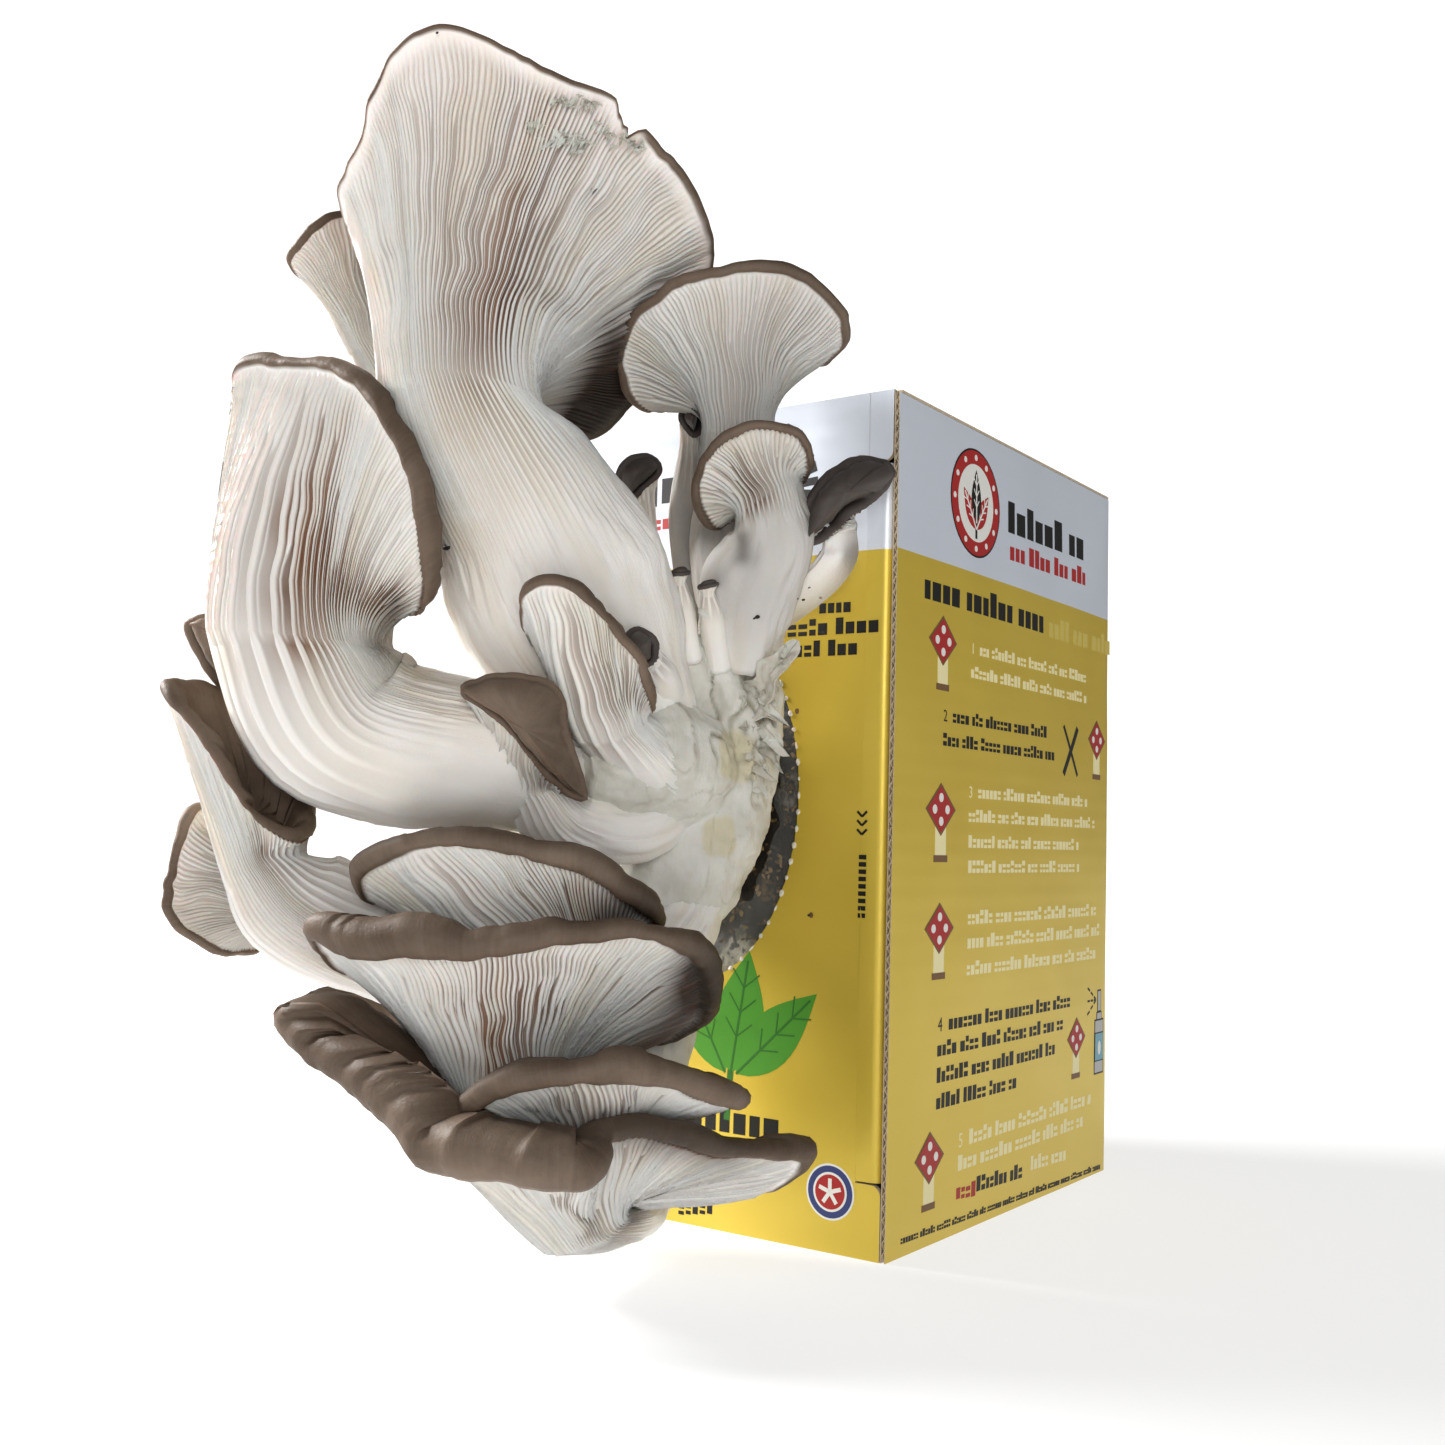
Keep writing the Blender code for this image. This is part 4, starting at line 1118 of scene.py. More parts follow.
def foot_finish():
    """White fibrous tissue with painted greenish-grey shade in its creases, and discoloured places."""
    tissue = Finish("cluster_tissue", roughness=0.78, subsurface_weight=0.12, subsurface_scale=0.003,
                    specular_ior_level=0.3)
    place = tissue.object_place()
    cloud = tissue.noise(place, 60, 4, 0.6)
    fine = tissue.noise(place, 800, 4, 0.7)
    fibre = tissue.noise(tissue.scaled(place, 1, 1, 0.25), 420, 4, 0.65)
    white = tissue.mix(tissue.rise(cloud, 0.3, 0.7), (0.62, 0.60, 0.54), (0.78, 0.77, 0.73))
    white = tissue.mix(fibre * 0.3, white, (0.50, 0.48, 0.39))
    crease, faded, torn = [tissue.value(name) for name in ("crease", "faded", "torn")]
    beige = tissue.mix(cloud, (0.58, 0.52, 0.34), (0.70, 0.64, 0.48))
    colour = tissue.mix(faded * 0.75, white, beige)
    # Painted shade, greenish grey, in the creases and pits
    colour = tissue.mix(crease * tissue.rise(cloud, 0.2, 0.6), colour, (0.27, 0.25, 0.17))
    pores = tissue.rise(tissue.noise(place, 330, 3, 0.6), 0.60, 0.70) * torn
    colour = tissue.mix(pores * 0.8, colour, (0.17, 0.14, 0.09))
    dents = tissue.bump(fine, 0.0003, 0.6)
    return tissue.wear(base_color=colour, roughness=0.85 - 0.25 * crease,
                       normal=tissue.bump(fibre, 0.0006, 0.5, dents))


def chain_skin(chains, around):
    """Closed tubes through the stations of each chain, in one mesh."""
    points, faces, count = [], [], 0
    for chain in chains:
        tube = Skin()
        centres, along, halves = stem_sections(chain, 8 * len(chain))
        start = square(along[0], np.array([0.0, -1.0, 0.3]))
        angles = np.arange(around) / around * 2 * pi
        for centre, way, half in zip(centres, along, halves):
            start = square(way, start)
            tube.ring(oval(centre, way, start, angles, half))
        for end in (0, -1):
            tube.close(end)
        points += tube.points
        faces += [face for block in tube.faces for face in (block + count).tolist()]
        count += tube.count
    return closed_mesh("cluster_base.grown", np.concatenate(points), faces)


def mesh_points(mesh):
    table = np.empty(len(mesh.vertices) * 3)
    mesh.vertices.foreach_get("co", table)
    return table.reshape(-1, 3)


def set_values(mesh, **values):
    for name, value in values.items():
        mesh.attributes.new(name, "FLOAT", "POINT").data.foreach_set("value", value.astype(np.float32))


TISSUE = foot_finish()
foot = show(chain_skin(FOOT_LUMPS + FOOT_FOLDS, 40))
melt = foot.modifiers.new("melt", "REMESH")
melt.mode, melt.voxel_size = "VOXEL", FOOT_VOXEL * MM
soften = foot.modifiers.new("soften", "SMOOTH")
soften.factor, soften.iterations = 0.5, 6
settled(foot)
places = mesh_points(foot.data) / MM
ways = np.array([vertex.normal for vertex in foot.data.vertices])
folds = np.abs(ripple(places * (1, 1, 0.3), 5.5, 61))
tight = np.exp(-(folds / 0.09) ** 2)
squeezed = 0.25 + 0.75 * ease(places[:, 2], 122, 160)
torn = np.exp(-(np.linalg.norm((places - TORN_PLACE) / (9, 9, 17), axis=1)) ** 2)
pits = ease(ripple(places, 2.6, 64), 0.35, 0.8) * torn
lift = (1.0 * ripple(places, 15, 62) + 0.55 * ripple(places, 5, 63) + 0.5 * (1 - 2.4 * folds) * squeezed
        - 1.3 * tight * squeezed - 2.2 * pits + 0.22 * ripple(places, 1.9, 65)
        + torn * 1.2 * ripple(places, 3.2, 66))
faded = np.zeros(len(places))
for centre, half in FADED_PLACES:
    gap = places - centre
    along = gap @ BROADSIDE / half[0]
    edge = np.abs(along) ** 4 + np.abs(gap[:, 2] / half[1]) ** 4 + 0.5 * ripple(places, 4, 67)
    faded += (1 - ease(edge, 0.6, 1.3)) * (gap[:, 1] < 6)
moved = places + ways * lift[:, None]
moved[:, 1] = np.minimum(moved[:, 1], ROOT_DEPTH)
foot.data.vertices.foreach_set("co", (moved * MM).ravel())
# The crease values mark where painted shade lies in the creases and pits
set_values(foot.data, crease=np.clip(tight * squeezed + pits, 0, 1), faded=np.clip(faded, 0, 1), torn=torn)
foot.data.materials.clear()
foot.data.materials.append(TISSUE)
smooth(foot.data)
keep(foot, "pale_flesh", "cluster_base")


# Torn scraps
# Thin rags of the same tissue, still standing where the film was peeled off the foot. The largest
# curls forward over the carton, with its spongy inside to the front.

# Root, tip, width, curl in degrees, and thickness
SCRAPS = [
    ((38.5, -108.5, 158.0), (53.5, -110.5, 172.5), 12.5, 34, 2.6),
    ((38.5, -106, 152), (46.0, -105.5, 144.5), 8.0, 30, 1.5),
    ((39, -105, 149.5), (45.0, -105, 139.5), 6.4, -25, 1.3),
    ((37, -106, 156), (46.0, -107, 151.5), 7.0, 60, 1.4),
    ((36, -106, 141), (42.5, -105, 136.0), 6.5, 35, 1.2),
    ((36, -107.5, 148), (42.5, -109, 145), 6.0, -50, 1.3),
    ((35, -107, 144.5), (41, -109, 139.5), 6.8, 55, 1.2),
    ((33.5, -107.5, 151), (38, -112, 149), 6.0, 70, 1.3),
    ((37, -105.5, 161), (43.5, -107, 157), 5.5, 45, 1.3),
    ((35.5, -106, 137), (40.5, -106, 131), 6.0, 30, 1.1),
    ((35.5, -109, 154), (38.5, -113.5, 157), 5.0, 60, 1.1),
    ((39, -106, 169), (42, -109, 177.5), 2.6, 30, 0.8),
    ((37, -106, 172), (38.5, -108.5, 180), 2.2, -30, 0.7),
]


def scrap_mesh(name, root, tip, width, curl, thickness, seed):
    """A tapering rag that bends from root to tip, cupped across, with a ragged end."""
    root, tip = np.array(root, float), np.array(tip, float)
    reach = tip - root
    side = unit(np.cross(reach, (0.3, -1.0, 0.2)))
    front = unit(np.cross(side, reach))
    along = np.linspace(-0.12, 1, 26)
    across = np.linspace(-1, 1, 15)
    s, t = np.meshgrid(along, across, indexing="ij")
    ragged = 1 + 0.28 * ripple(np.stack([t * 3.1, t * 0, t * 0 + seed], -1), 1.0, seed)
    wide = width / 2 * (1 - np.clip(s, 0, 1) ** 4) ** 0.55 * (0.8 + 0.25 * ripple(
        np.stack([s * 4, s * 0 + seed, np.sign(t)], -1), 1.0, seed + 1))
    bow = radians(curl) * s * (1 - s)
    length = np.linalg.norm(reach)
    middle = root + reach * (s * (1 + (ragged - 1) * s ** 3))[..., None] + front * (bow * length)[..., None]
    cupped = 0.35 * wide * (1 - t ** 2)
    middle = middle + side * (t * np.maximum(wide, 0.15))[..., None] - front * cupped[..., None]
    sponge = 0.5 * ripple(middle, 2.0, seed + 2) + 0.3 * ripple(middle, 1.0, seed + 3)
    thin = thickness * (0.25 + 0.75 * (1 - np.clip(s, 0, 1) ** 2)) * (1 - 0.6 * t ** 2)
    sheet = middle + front * (sponge * 0.5 * thickness)[..., None]
    return sheet_mesh(name, sheet, middle - front * thin[..., None], (TISSUE,))


def rag_piece(name, scraps, seed, discoloured, spongy):
    """Scraps joined into one piece, with the values that the tissue's colours ask for."""
    joined = bmesh.new()
    for number, scrap in enumerate(scraps):
        rag = scrap_mesh("scrap", *scrap, seed=seed + 5 * number)
        joined.from_mesh(rag)
        bpy.data.meshes.remove(rag)
    mesh = mesh_of(joined, name, TISSUE)
    spots = mesh_points(mesh) / MM
    set_values(mesh, crease=0.25 * ease(ripple(spots, 2.5, 68), 0.2, 0.9),
               faded=np.full(len(spots), discoloured), torn=np.full(len(spots), spongy))
    return show(mesh, 60)


keep(rag_piece("cluster_base.scraps", SCRAPS, 70, 0.15, 0.6), "pale_flesh")


# The giant mushroom
# The tallest one of the flush: a swollen, wrinkled stem that opens into a funnel and shows its
# gills. Stem and cap grew as one piece, so it is one skin of rings, from the foot of the stem over
# the neck, up the gills, round the rim and back down over the cap.

# Heights across one gill: its crest, a flank, the valley and the other flank
GILL_SHAPE = np.array([1.0, 0.32, 0.0, 0.32])
PER_GILL = len(GILL_SHAPE)
# A rim shorter than this has smaller waves
FULL_SIZE_RIM = 150.0
# How far the gills spread at the rim, and the rows of points over a cap
SPREAD = 1.2
TOP_ROWS = 9


def flesh_finish():
    """Mushroom flesh: cream gills and stem, a taupe cap skin, and painted shade in gill valleys and shadows.
    """
    flesh = Finish("mushroom_flesh", roughness=0.62, subsurface_weight=0.15, subsurface_scale=0.003,
                   specular_ior_level=0.35)
    place = flesh.object_place()
    grain = flesh.value("grain", "Vector")
    gill, gilled, cap, rust, stain, aged, near_rim, dark = [
        flesh.value(name) for name in ("gill", "gilled", "cap", "rust", "stain", "aged", "near_rim", "dark")]
    sector = flesh.noise(flesh.scaled(grain, 0.1, 0.1, 0.4), 1.0, 2)
    streak = flesh.noise(flesh.scaled(grain, 0.7, 0.7, 0.3), 1.0, 3, 0.6)
    cloud = flesh.noise(place, 45, 4, 0.6)
    speckle = flesh.noise(place, 900, 3, 0.7)

    cream = flesh.mix(cloud, (0.81, 0.775, 0.735), (0.885, 0.865, 0.835))
    cream = flesh.mix(flesh.rise(sector, 0.45, 0.7) * 0.3, cream, (0.70, 0.62, 0.46))
    # Painted shade in the gills' valleys, rust brown where rust lies, and weaker near the rim
    valley = (1 - flesh.rise(gill, 0.0, 0.36)) * gilled
    shaded = flesh.mix(streak, (0.17, 0.12, 0.09), (0.34, 0.27, 0.22))
    rusty = flesh.mix(flesh.rise(streak, 0.35, 0.65), (0.13, 0.055, 0.026), (0.28, 0.145, 0.085))
    deep = flesh.mix(rust, shaded, rusty)
    pale = flesh.mix(valley * (0.42 + 0.58 * rust) * (1 - 0.7 * near_rim), cream, deep)
    pale = flesh.mix(stain * flesh.rise(cloud, 0.25, 0.7), pale, (0.52, 0.38, 0.22))
    # Strokes of painted shade darken the flesh where it lies in shadow
    pale = flesh.mix(aged, pale, flesh.mix(streak, (0.045, 0.036, 0.028), (0.11, 0.095, 0.08)))

    blotch = flesh.noise(place, 26, 5, 0.65, 0.3)
    skin = flesh.mix(flesh.rise(blotch, 0.3, 0.7), (0.115, 0.080, 0.056), (0.20, 0.150, 0.112))
    fibre = flesh.noise(flesh.scaled(grain, 1.6, 1.6, 1.2), 1.0, 3, 0.7)
    skin = flesh.mix(flesh.rise(fibre, 0.35, 0.75) * 0.12, skin, (0.30, 0.235, 0.185))
    skin = flesh.mix(dark, skin, flesh.mix(blotch, (0.06, 0.05, 0.045), (0.13, 0.11, 0.10)))
    # The same strokes of painted shade darken the cap's skin where it lies in shadow
    skin = flesh.mix(aged * 0.75, skin, (0.030, 0.024, 0.019))
    colour = flesh.mix(cap, pale, skin)

    dents = flesh.bump(speckle, 0.0003, 0.5)
    fine = flesh.bump(streak * (1 - cap) + fibre * cap * 0.3, 0.0006, 0.35, dents)
    return flesh.wear(base_color=colour, roughness=0.66 - 0.09 * cap, normal=fine)


FLESH = flesh_finish()


def rim_curve(rim, shares):
    """Points on the closed curve through a cap's rim, at shares of its whole length."""
    fine = np.linspace(0, len(rim), 60 * len(rim) + 1)
    lengths = np.linalg.norm(np.diff(smooth_curve(rim, fine % len(rim), True), axis=0), axis=1)
    run = np.concatenate([[0], np.cumsum(lengths)])
    return smooth_curve(rim, np.interp(shares, run / run[-1], fine) % len(rim), True)


def angles_to_rim(lip, neck, heading):
    """The place on the neck that faces each rim point, as angles, and the direction of angle 0."""
    spokes = lip - neck
    start = square(heading, spokes[0])
    side = np.cross(heading, start)
    turns = np.unwrap(np.arctan2(spokes @ side, spokes @ start))
    sense = np.sign(turns[-1] - turns[0])
    steps = np.diff(np.append(turns, turns[0] + sense * 2 * pi)) * sense
    steps = np.maximum(steps, 0.35 * 2 * pi / len(lip))
    steps *= 2 * pi / steps.sum()
    return turns[0] + sense * np.concatenate([[0], np.cumsum(steps)[:-1]]), start


def near_strokes(points, strokes):
    """How strongly strokes of colour (start, end, radius, strength) reach each point."""
    total = np.zeros(len(points))
    for start, end, radius, strength in strokes:
        start, end = np.array(start, float), np.array(end, float)
        line = end - start
        share = np.clip((points - start) @ line / max(line @ line, 1e-9), 0, 1)
        gap = np.linalg.norm(points - start - share[:, None] * line, axis=1)
        total += strength * np.exp(-(gap / radius) ** 2)
    return np.clip(total, 0, 1)


def creases(theta, run, radius, seed):
    """Long fine creases that run along a stem, as heights from -1 to 1."""
    total = 0
    for across, along, share in ((2.6, 16, 0.65), (1.3, 8, 0.35)):
        place = np.column_stack([np.cos(theta) * radius / across, np.sin(theta) * radius / across,
                                 np.full(len(theta), run / along)])
        total = total + share * (1 - 2.4 * np.abs(ripple(place, 1, seed)))
    return total


def underside(throat, leave, lip, heading, shares):
    """Rows of points from the throat out to the lip, on curves that leave the neck as given."""
    spokes = lip - throat
    rise = (spokes @ heading)[:, None] * heading
    arrive = SPREAD * (spokes - rise) + 0.5 * rise
    s = shares[..., None]
    return ((2 * s ** 3 - 3 * s ** 2 + 1) * throat + (s ** 3 - 2 * s ** 2 + s) * leave
            + (3 * s ** 2 - 2 * s ** 3) * lip + (s ** 3 - s ** 2) * arrive)


def ways_of(under, neck):
    """At each point of a cap's underside, the ways along its row and into the flesh."""
    around = unit(np.roll(under, -1, axis=1) - np.roll(under, 1, axis=1))
    inward = unit(np.cross(around, np.gradient(under, axis=0)))
    if np.sum(inward[0] * (neck - under[0])) < 0:
        inward = -inward
    for _ in range(3):
        inward = unit(inward + 0.5 * (np.roll(inward, 1, axis=1) + np.roll(inward, -1, axis=1)))
    return around, inward


def grow(name, slot, stem, rim, gills, seed, edge, flesh, depth=1.8, flare=0.9, roll=1.5, crown=None,
         wrinkles=0.4, fade=0.4, dark=0.0, rust=(), stain=(), aged=(), bites=(), gill_rows=30,
         stem_rows=36):
    """A mushroom with real gills: every one has four points across, a crest, two flanks, a valley.

    stem is a chain of stations like the foot's. A rim point may have its own thickness as a fourth
    number. gills is their number at the rim, and every second one ends before it reaches the neck.
    edge and flesh are the cap's thickness at its rim and its middle, and depth is the gills'. flare
    says how long the gills follow the stem, and roll how far the cap's skin curls round the rim.
    crown is the top of a cap that is domed instead. wrinkles are the stem's creases, and fade is
    the share of the stem down which the long gills run out. dark makes the cap's skin grey. rust and
    stain are strokes of discoloured flesh (start, end, radius, strength), and the strokes after them
    are painted shade, which darkens flesh and skin where they lie in shadow. bites are places
    (centre, radius, share) where the cap is torn back from its rim by a share of its width.
    """
    dice = np.random.default_rng(seed)
    columns = PER_GILL * gills
    lip = rim_curve([(*point, edge)[:4] for point in rim], np.arange(columns) / columns)
    lip, margin = lip[:, :3], lip[:, 3]
    girth = np.linalg.norm(np.roll(lip, -1, axis=0) - lip, axis=1).sum()
    size = min(1.0, girth / FULL_SIZE_RIM)
    waves = np.stack([ripple(lip, 7 * size, seed + k) + 0.5 * ripple(lip, 3 * size, seed + 3 + k)
                      for k in range(3)], axis=1)
    lip = lip + 0.45 * size * waves
    neck, below = np.array(stem[-1][:3], float), np.array(stem[-2][:3], float)
    heading = unit(0.8 * unit(lip.mean(axis=0) - neck) + 0.2 * unit(neck - below))
    centres, along, halves = stem_sections(stem, stem_rows, heading)
    angles, start = angles_to_rim(lip, neck, heading)

    rings = []
    for centre, way, half in zip(centres[::-1], along[::-1], halves[::-1]):
        start = square(way, start)
        rings.insert(0, oval(centre, way, start, angles, half))
    rings = np.array(rings)
    throat = rings[-1]
    reach = np.linalg.norm(lip - throat, axis=1)
    steps = np.concatenate([np.linspace(0, 0.9, gill_rows - 6), np.linspace(0.925, 1, 6)])
    kept = np.ones(columns)
    for centre, radius, share in bites:
        gap = np.linalg.norm(lip - centre, axis=1)
        kept -= share * np.exp(-(gap / radius) ** 4) * (1 + 0.25 * ripple(lip, 2.0, seed + 20))
    leave = unit(unit(throat - rings[-2]) + heading) * reach[:, None] * flare
    under = underside(throat, leave, lip, heading, steps[:, None] * kept)
    around, inward = ways_of(under, neck)

    # Gills of the second kind start part way out, and so stand far enough apart everywhere
    kind = np.arange(gills) % 4
    first = np.where(kind % 2 == 0, -1.0, dice.uniform(0.25, 0.6, gills))
    first = np.where(kind == 3, first + 0.22, first)
    strength = dice.uniform(0.72, 1.1, gills)
    run = np.linalg.norm(np.diff(rings.mean(axis=1), axis=0), axis=1)
    run = np.concatenate([[0], np.cumsum(run)])
    run -= run[-1]
    theta = np.arange(columns) / columns * 2 * pi
    turn = np.stack([np.cos(theta), np.sin(theta)], axis=1) * gills / (2 * pi)
    skin = Skin()

    def lay(points, every, along_run, gill=0.0, gilled=0.0, cap=0.0, near_rim=0.0):
        grain = np.column_stack([turn[::every], np.broadcast_to(along_run / 15, (len(points),))])
        skin.ring(points, gill=gill, gilled=gilled, cap=cap, near_rim=near_rim, grain=grain,
                  dark=dark, rust=near_strokes(points, rust), stain=near_strokes(points, stain),
                  aged=near_strokes(points, aged))

    long_gills = np.repeat(np.where(kind % 2 == 0, strength, 0), PER_GILL) * np.tile(GILL_SHAPE, gills)
    for row in range(stem_rows - 1):
        ridge = ease(run[row], run[0] * fade, 0)
        every = 2 if ridge > 0 else PER_GILL
        points = rings[row][::every]
        height = long_gills[::every] * ridge
        lumps = 0.9 * ripple(points, 15, seed + 7) + 0.35 * ripple(points, 6, seed + 8)
        crease = creases(theta[::every], run[row], halves[row].mean(), seed + 9)
        lift = (lumps * size * (1 - ridge) + wrinkles * crease * (1 - 0.8 * ridge)
                + depth * 0.7 * (height - 0.6 * ridge))
        points = points + unit(points - centres[row]) * lift[:, None]
        lay(points, every, run[row], height, ridge)

    for row, step in enumerate(steps):
        standing = np.clip((step - first) / 0.08, 0, 1)
        tall = np.repeat(standing * strength, PER_GILL) * np.tile(GILL_SHAPE, gills)
        profile = np.interp(step, [0, 0.25, 0.9, 0.97], [0.7, 1, 0.8, 0])
        sway = ripple(under[row], 9, seed + 11) * 0.9 * ease(step, 0, 0.2) * ease(step, 1, 0.85)
        from_rim = (1 - step) * reach
        curl = np.maximum(roll * margin / edge, 0.1)
        bead = 0.25 * margin * np.clip(1 - from_rim / curl, 0, 1) ** 0.5
        lift = depth * profile * (tall - 0.6) + bead
        points = under[row] - inward[row] * lift[:, None] + around[row] * sway[:, None] * size
        lay(points, 1, step * reach.mean(), tall * profile, profile, 1 - ease(from_rim / curl, 0.6, 1),
            1 - ease(from_rim, 0, 9))

    # Round the rim and back over the cap, with one point for each gill
    every = PER_GILL
    last, way = points[::every], inward[-1][::every]
    outward = unit(under[-1] - under[-3])[::every]
    outward = outward - way * np.sum(outward * way, axis=1)[:, None]
    thick = margin[::every, None] * (1 + 0.2 * ripple(last, 12, seed + 12))[:, None]
    for share in (0.12, 0.3, 0.5, 0.7, 0.88):
        bend = pi * share
        points = last + way * thick / 2 * (1 - cos(bend)) + outward * thick * 0.55 * sin(bend)
        lay(points, every, reach.mean(), cap=1.0)
    if crown:
        foot, edge_ring = points.mean(axis=0), points
        for share in np.linspace(0.08, 0.93, TOP_ROWS):
            bend = share * pi / 2
            points = foot + (edge_ring - foot) * cos(bend) + (np.array(crown) - foot) * sin(bend)
            points = points + 0.4 * size * ripple(points, 8 * size, seed + 13)[:, None] * heading
            lay(points, every, (1 - share) * reach.mean(), cap=1.0)
    else:
        for step in np.linspace(0.94, 0.4, TOP_ROWS):
            row = np.interp(step, steps, range(gill_rows))
            low, part = int(row), row - int(row)
            points = (under[low] * (1 - part) + under[low + 1] * part)[::every]
            way = unit(inward[low] * (1 - part) + inward[low + 1] * part)[::every]
            points = points + way * (thick + (flesh - thick) * (1 - step) ** 1.2)
            points = points + way * (0.5 * size * ripple(points, 12 * size, seed + 13))[:, None]
            lay(points, every, step * reach.mean(), cap=1.0)
        middle, ring = points.mean(axis=0), points
        for draw in (0.75, 0.5, 0.28, 0.1):
            lay(middle + (ring - middle) * draw, every, 0.0, cap=1.0)
    for end in (0, -1):
        skin.close(end)
    keep(skin.piece(name + ".grown", FLESH), slot, name)


grow("giant_mushroom", "gilled_flesh", gills=238, flare=0.8, edge=2.5, flesh=8, gill_rows=40,
     stem_rows=40, seed=3,
     stem=[(17.5, -110, 131.5, 12, 11), (12.5, -133, 150.5, 21, 18), (4.5, -154.5, 183.5, 31, 25),
           (2.5, -171.5, 206.5, 26, 22), (-3, -187.5, 229.5, 22, 18)],
     rim=[(9.5, -212.5, 317, 2), (15.5, -204.5, 316.5, 2), (20, -198.5, 314, 2),
          (26.5, -186.5, 310.5, 2), (31, -175.5, 310, 2), (33, -170.5, 309, 1.5), (34, -166, 306.5, 1.5),
          (35, -161.5, 304, 2.5), (35.5, -157, 301.5, 3.5), (37.5, -148, 296.5, 3),
          (38.5, -139, 288, 2.5), (33.5, -128, 280, 2), (20.5, -120, 263.5, 2), (2.5, -122.5, 245.5, 2),
          (-11.5, -127.5, 235.5, 2.5), (-35.5, -139, 240, 2), (-52.5, -158.5, 254.5, 1.5),
          (-47.5, -180.5, 271, 1.5), (-27.5, -210.5, 280.5, 1.5), (-19.5, -215, 286.5, 1.5),
          (-12.5, -217, 294.5, 1.5), (-7.5, -218, 302, 1.5), (0.5, -217, 312.5, 2)],
     bites=[((33.5, -166.5, 307), 4.2, 0.085)],
     rust=[((21, -191, 302), (15, -193, 245), 13, 0.55), ((26, -185, 308), (12.5, -197, 231), 9, 0.45),
           ((5, -207, 297), (2, -204, 244), 10, 0.4), ((16, -155, 256), (21, -176, 225), 14, 0.4),
           # The last rust stroke is painted shade: it darkens the gills' valleys right of the neck, in
           # shadow
           ((16, -140, 250), (1, -130, 245), 12, 1.0)],
     stain=[((2, -195, 215), (0, -190, 190), 16, 0.35), ((8, -150, 165), (4, -160, 150), 18, 0.3)],
     # Painted shade on the funnel's flesh beside the neck, where it lies in shadow
     aged=[((-7, -138, 236), (13, -144, 253), 13, 1.0), ((-7, -127, 237), (2, -123, 246), 12, 0.9)])

grow("giant_back_lobe", "gilled_flesh", gills=76, edge=2, flesh=4, seed=23,
     stem=[(-6, -99, 153.5, 9, 9), (-37.5, -125.5, 198, 9, 8), (-58, -146, 236.5, 8, 7),
           (-66.5, -164, 264, 7, 6)],
     rim=[(-70, -192.5, 278.5), (-65, -194, 282), (-59.5, -193, 286.5), (-55.5, -188.5, 291),
          (-54, -180, 294.5), (-54, -168, 294.5), (-61.5, -156, 292), (-72.5, -153.5, 285.5),
          (-78.5, -162, 282), (-77, -173, 278.5), (-72.5, -184.5, 277.5)])


# Mushrooms on the left
# Four more with long stems, that lean out to the left of the giant. The upper one's thick cap is
# folded over its gills, and of the lowest only its gills show.

grow("left_upper_mushroom", "gilled_flesh", gills=154, edge=5, flesh=8, depth=2.2, seed=43,
     stem=[(14, -114.5, 128.5, 11, 10), (-1, -145.5, 134, 19, 16), (-16, -173.5, 138.5, 24, 20),
           (-32, -195.5, 145, 25, 20), (-40, -206.5, 167, 24, 19)],
     rim=[(-59, -216.5, 234, 2), (-55.5, -218, 239.5, 5), (-39, -215, 238.5, 6), (-24, -212.5, 235, 7),
          (-12, -210.5, 226.5, 7.5), (-3, -208, 213, 8), (1, -205, 197.5, 8), (0.5, -200.5, 183.5, 8.5),
          (-5, -196, 176, 8), (-14, -195, 175.5, 5), (-31, -186, 188, 3), (-51, -183.5, 207, 3),
          (-65.5, -188.5, 219, 2), (-66.5, -202.5, 225.5, 2)],
     rust=[((-23, -214, 219), (-25, -217, 195), 9, 0.85), ((-25, -217, 195), (-20, -211, 176), 9, 0.9),
           ((-28, -220, 175), (-26, -218, 165), 8, 0.9), ((-12, -202, 178), (-15, -200, 170), 5, 1.0)],
     stain=[((-20, -200, 165), (-5, -185, 150), 14, 0.5)],
     # Painted shade in the hollow under the folded cap
     aged=[((-12, -199, 176), (-15, -200, 166), 4.5, 0.8)])

grow("left_tip_mushroom", "brown_cap_flesh", gills=58, edge=3, flesh=5, crown=(-70.5, -207, 168.5),
     seed=63,
     stem=[(-6.5, -102, 125.5, 9, 9), (-52, -129, 127.5, 9, 9), (-84, -153, 138.5, 8, 8),
           (-93.5, -171, 154.5, 7, 7)],
     rim=[(-82, -211, 171), (-80.5, -210, 174), (-79, -204.5, 176), (-75.5, -192, 175.5),
          (-75, -181, 169), (-76, -183.5, 157), (-78, -194, 153.5), (-78.5, -205, 158.5)])

grow("left_middle_mushroom", "gilled_flesh", gills=106, edge=4, flesh=6, seed=83,
     stem=[(1.5, -115.5, 90, 14, 12), (-12.5, -139, 82, 16, 14), (-26, -161, 82, 18, 15),
           (-38.5, -182.5, 89, 18, 15), (-47, -196.5, 97, 17, 14), (-52, -204.5, 106.5, 11, 11)],
     rim=[(-67, -228, 152.5), (-57, -227.5, 145), (-50.5, -224.5, 136), (-46.5, -220, 127.5),
          (-43.5, -213, 119), (-40.5, -203.5, 115), (-52, -190, 123.5), (-71.5, -186, 142),
          (-79.5, -197.5, 152), (-76, -215, 155)],
     rust=[((-48, -222, 129), (-45, -212, 112), 8, 0.7)])

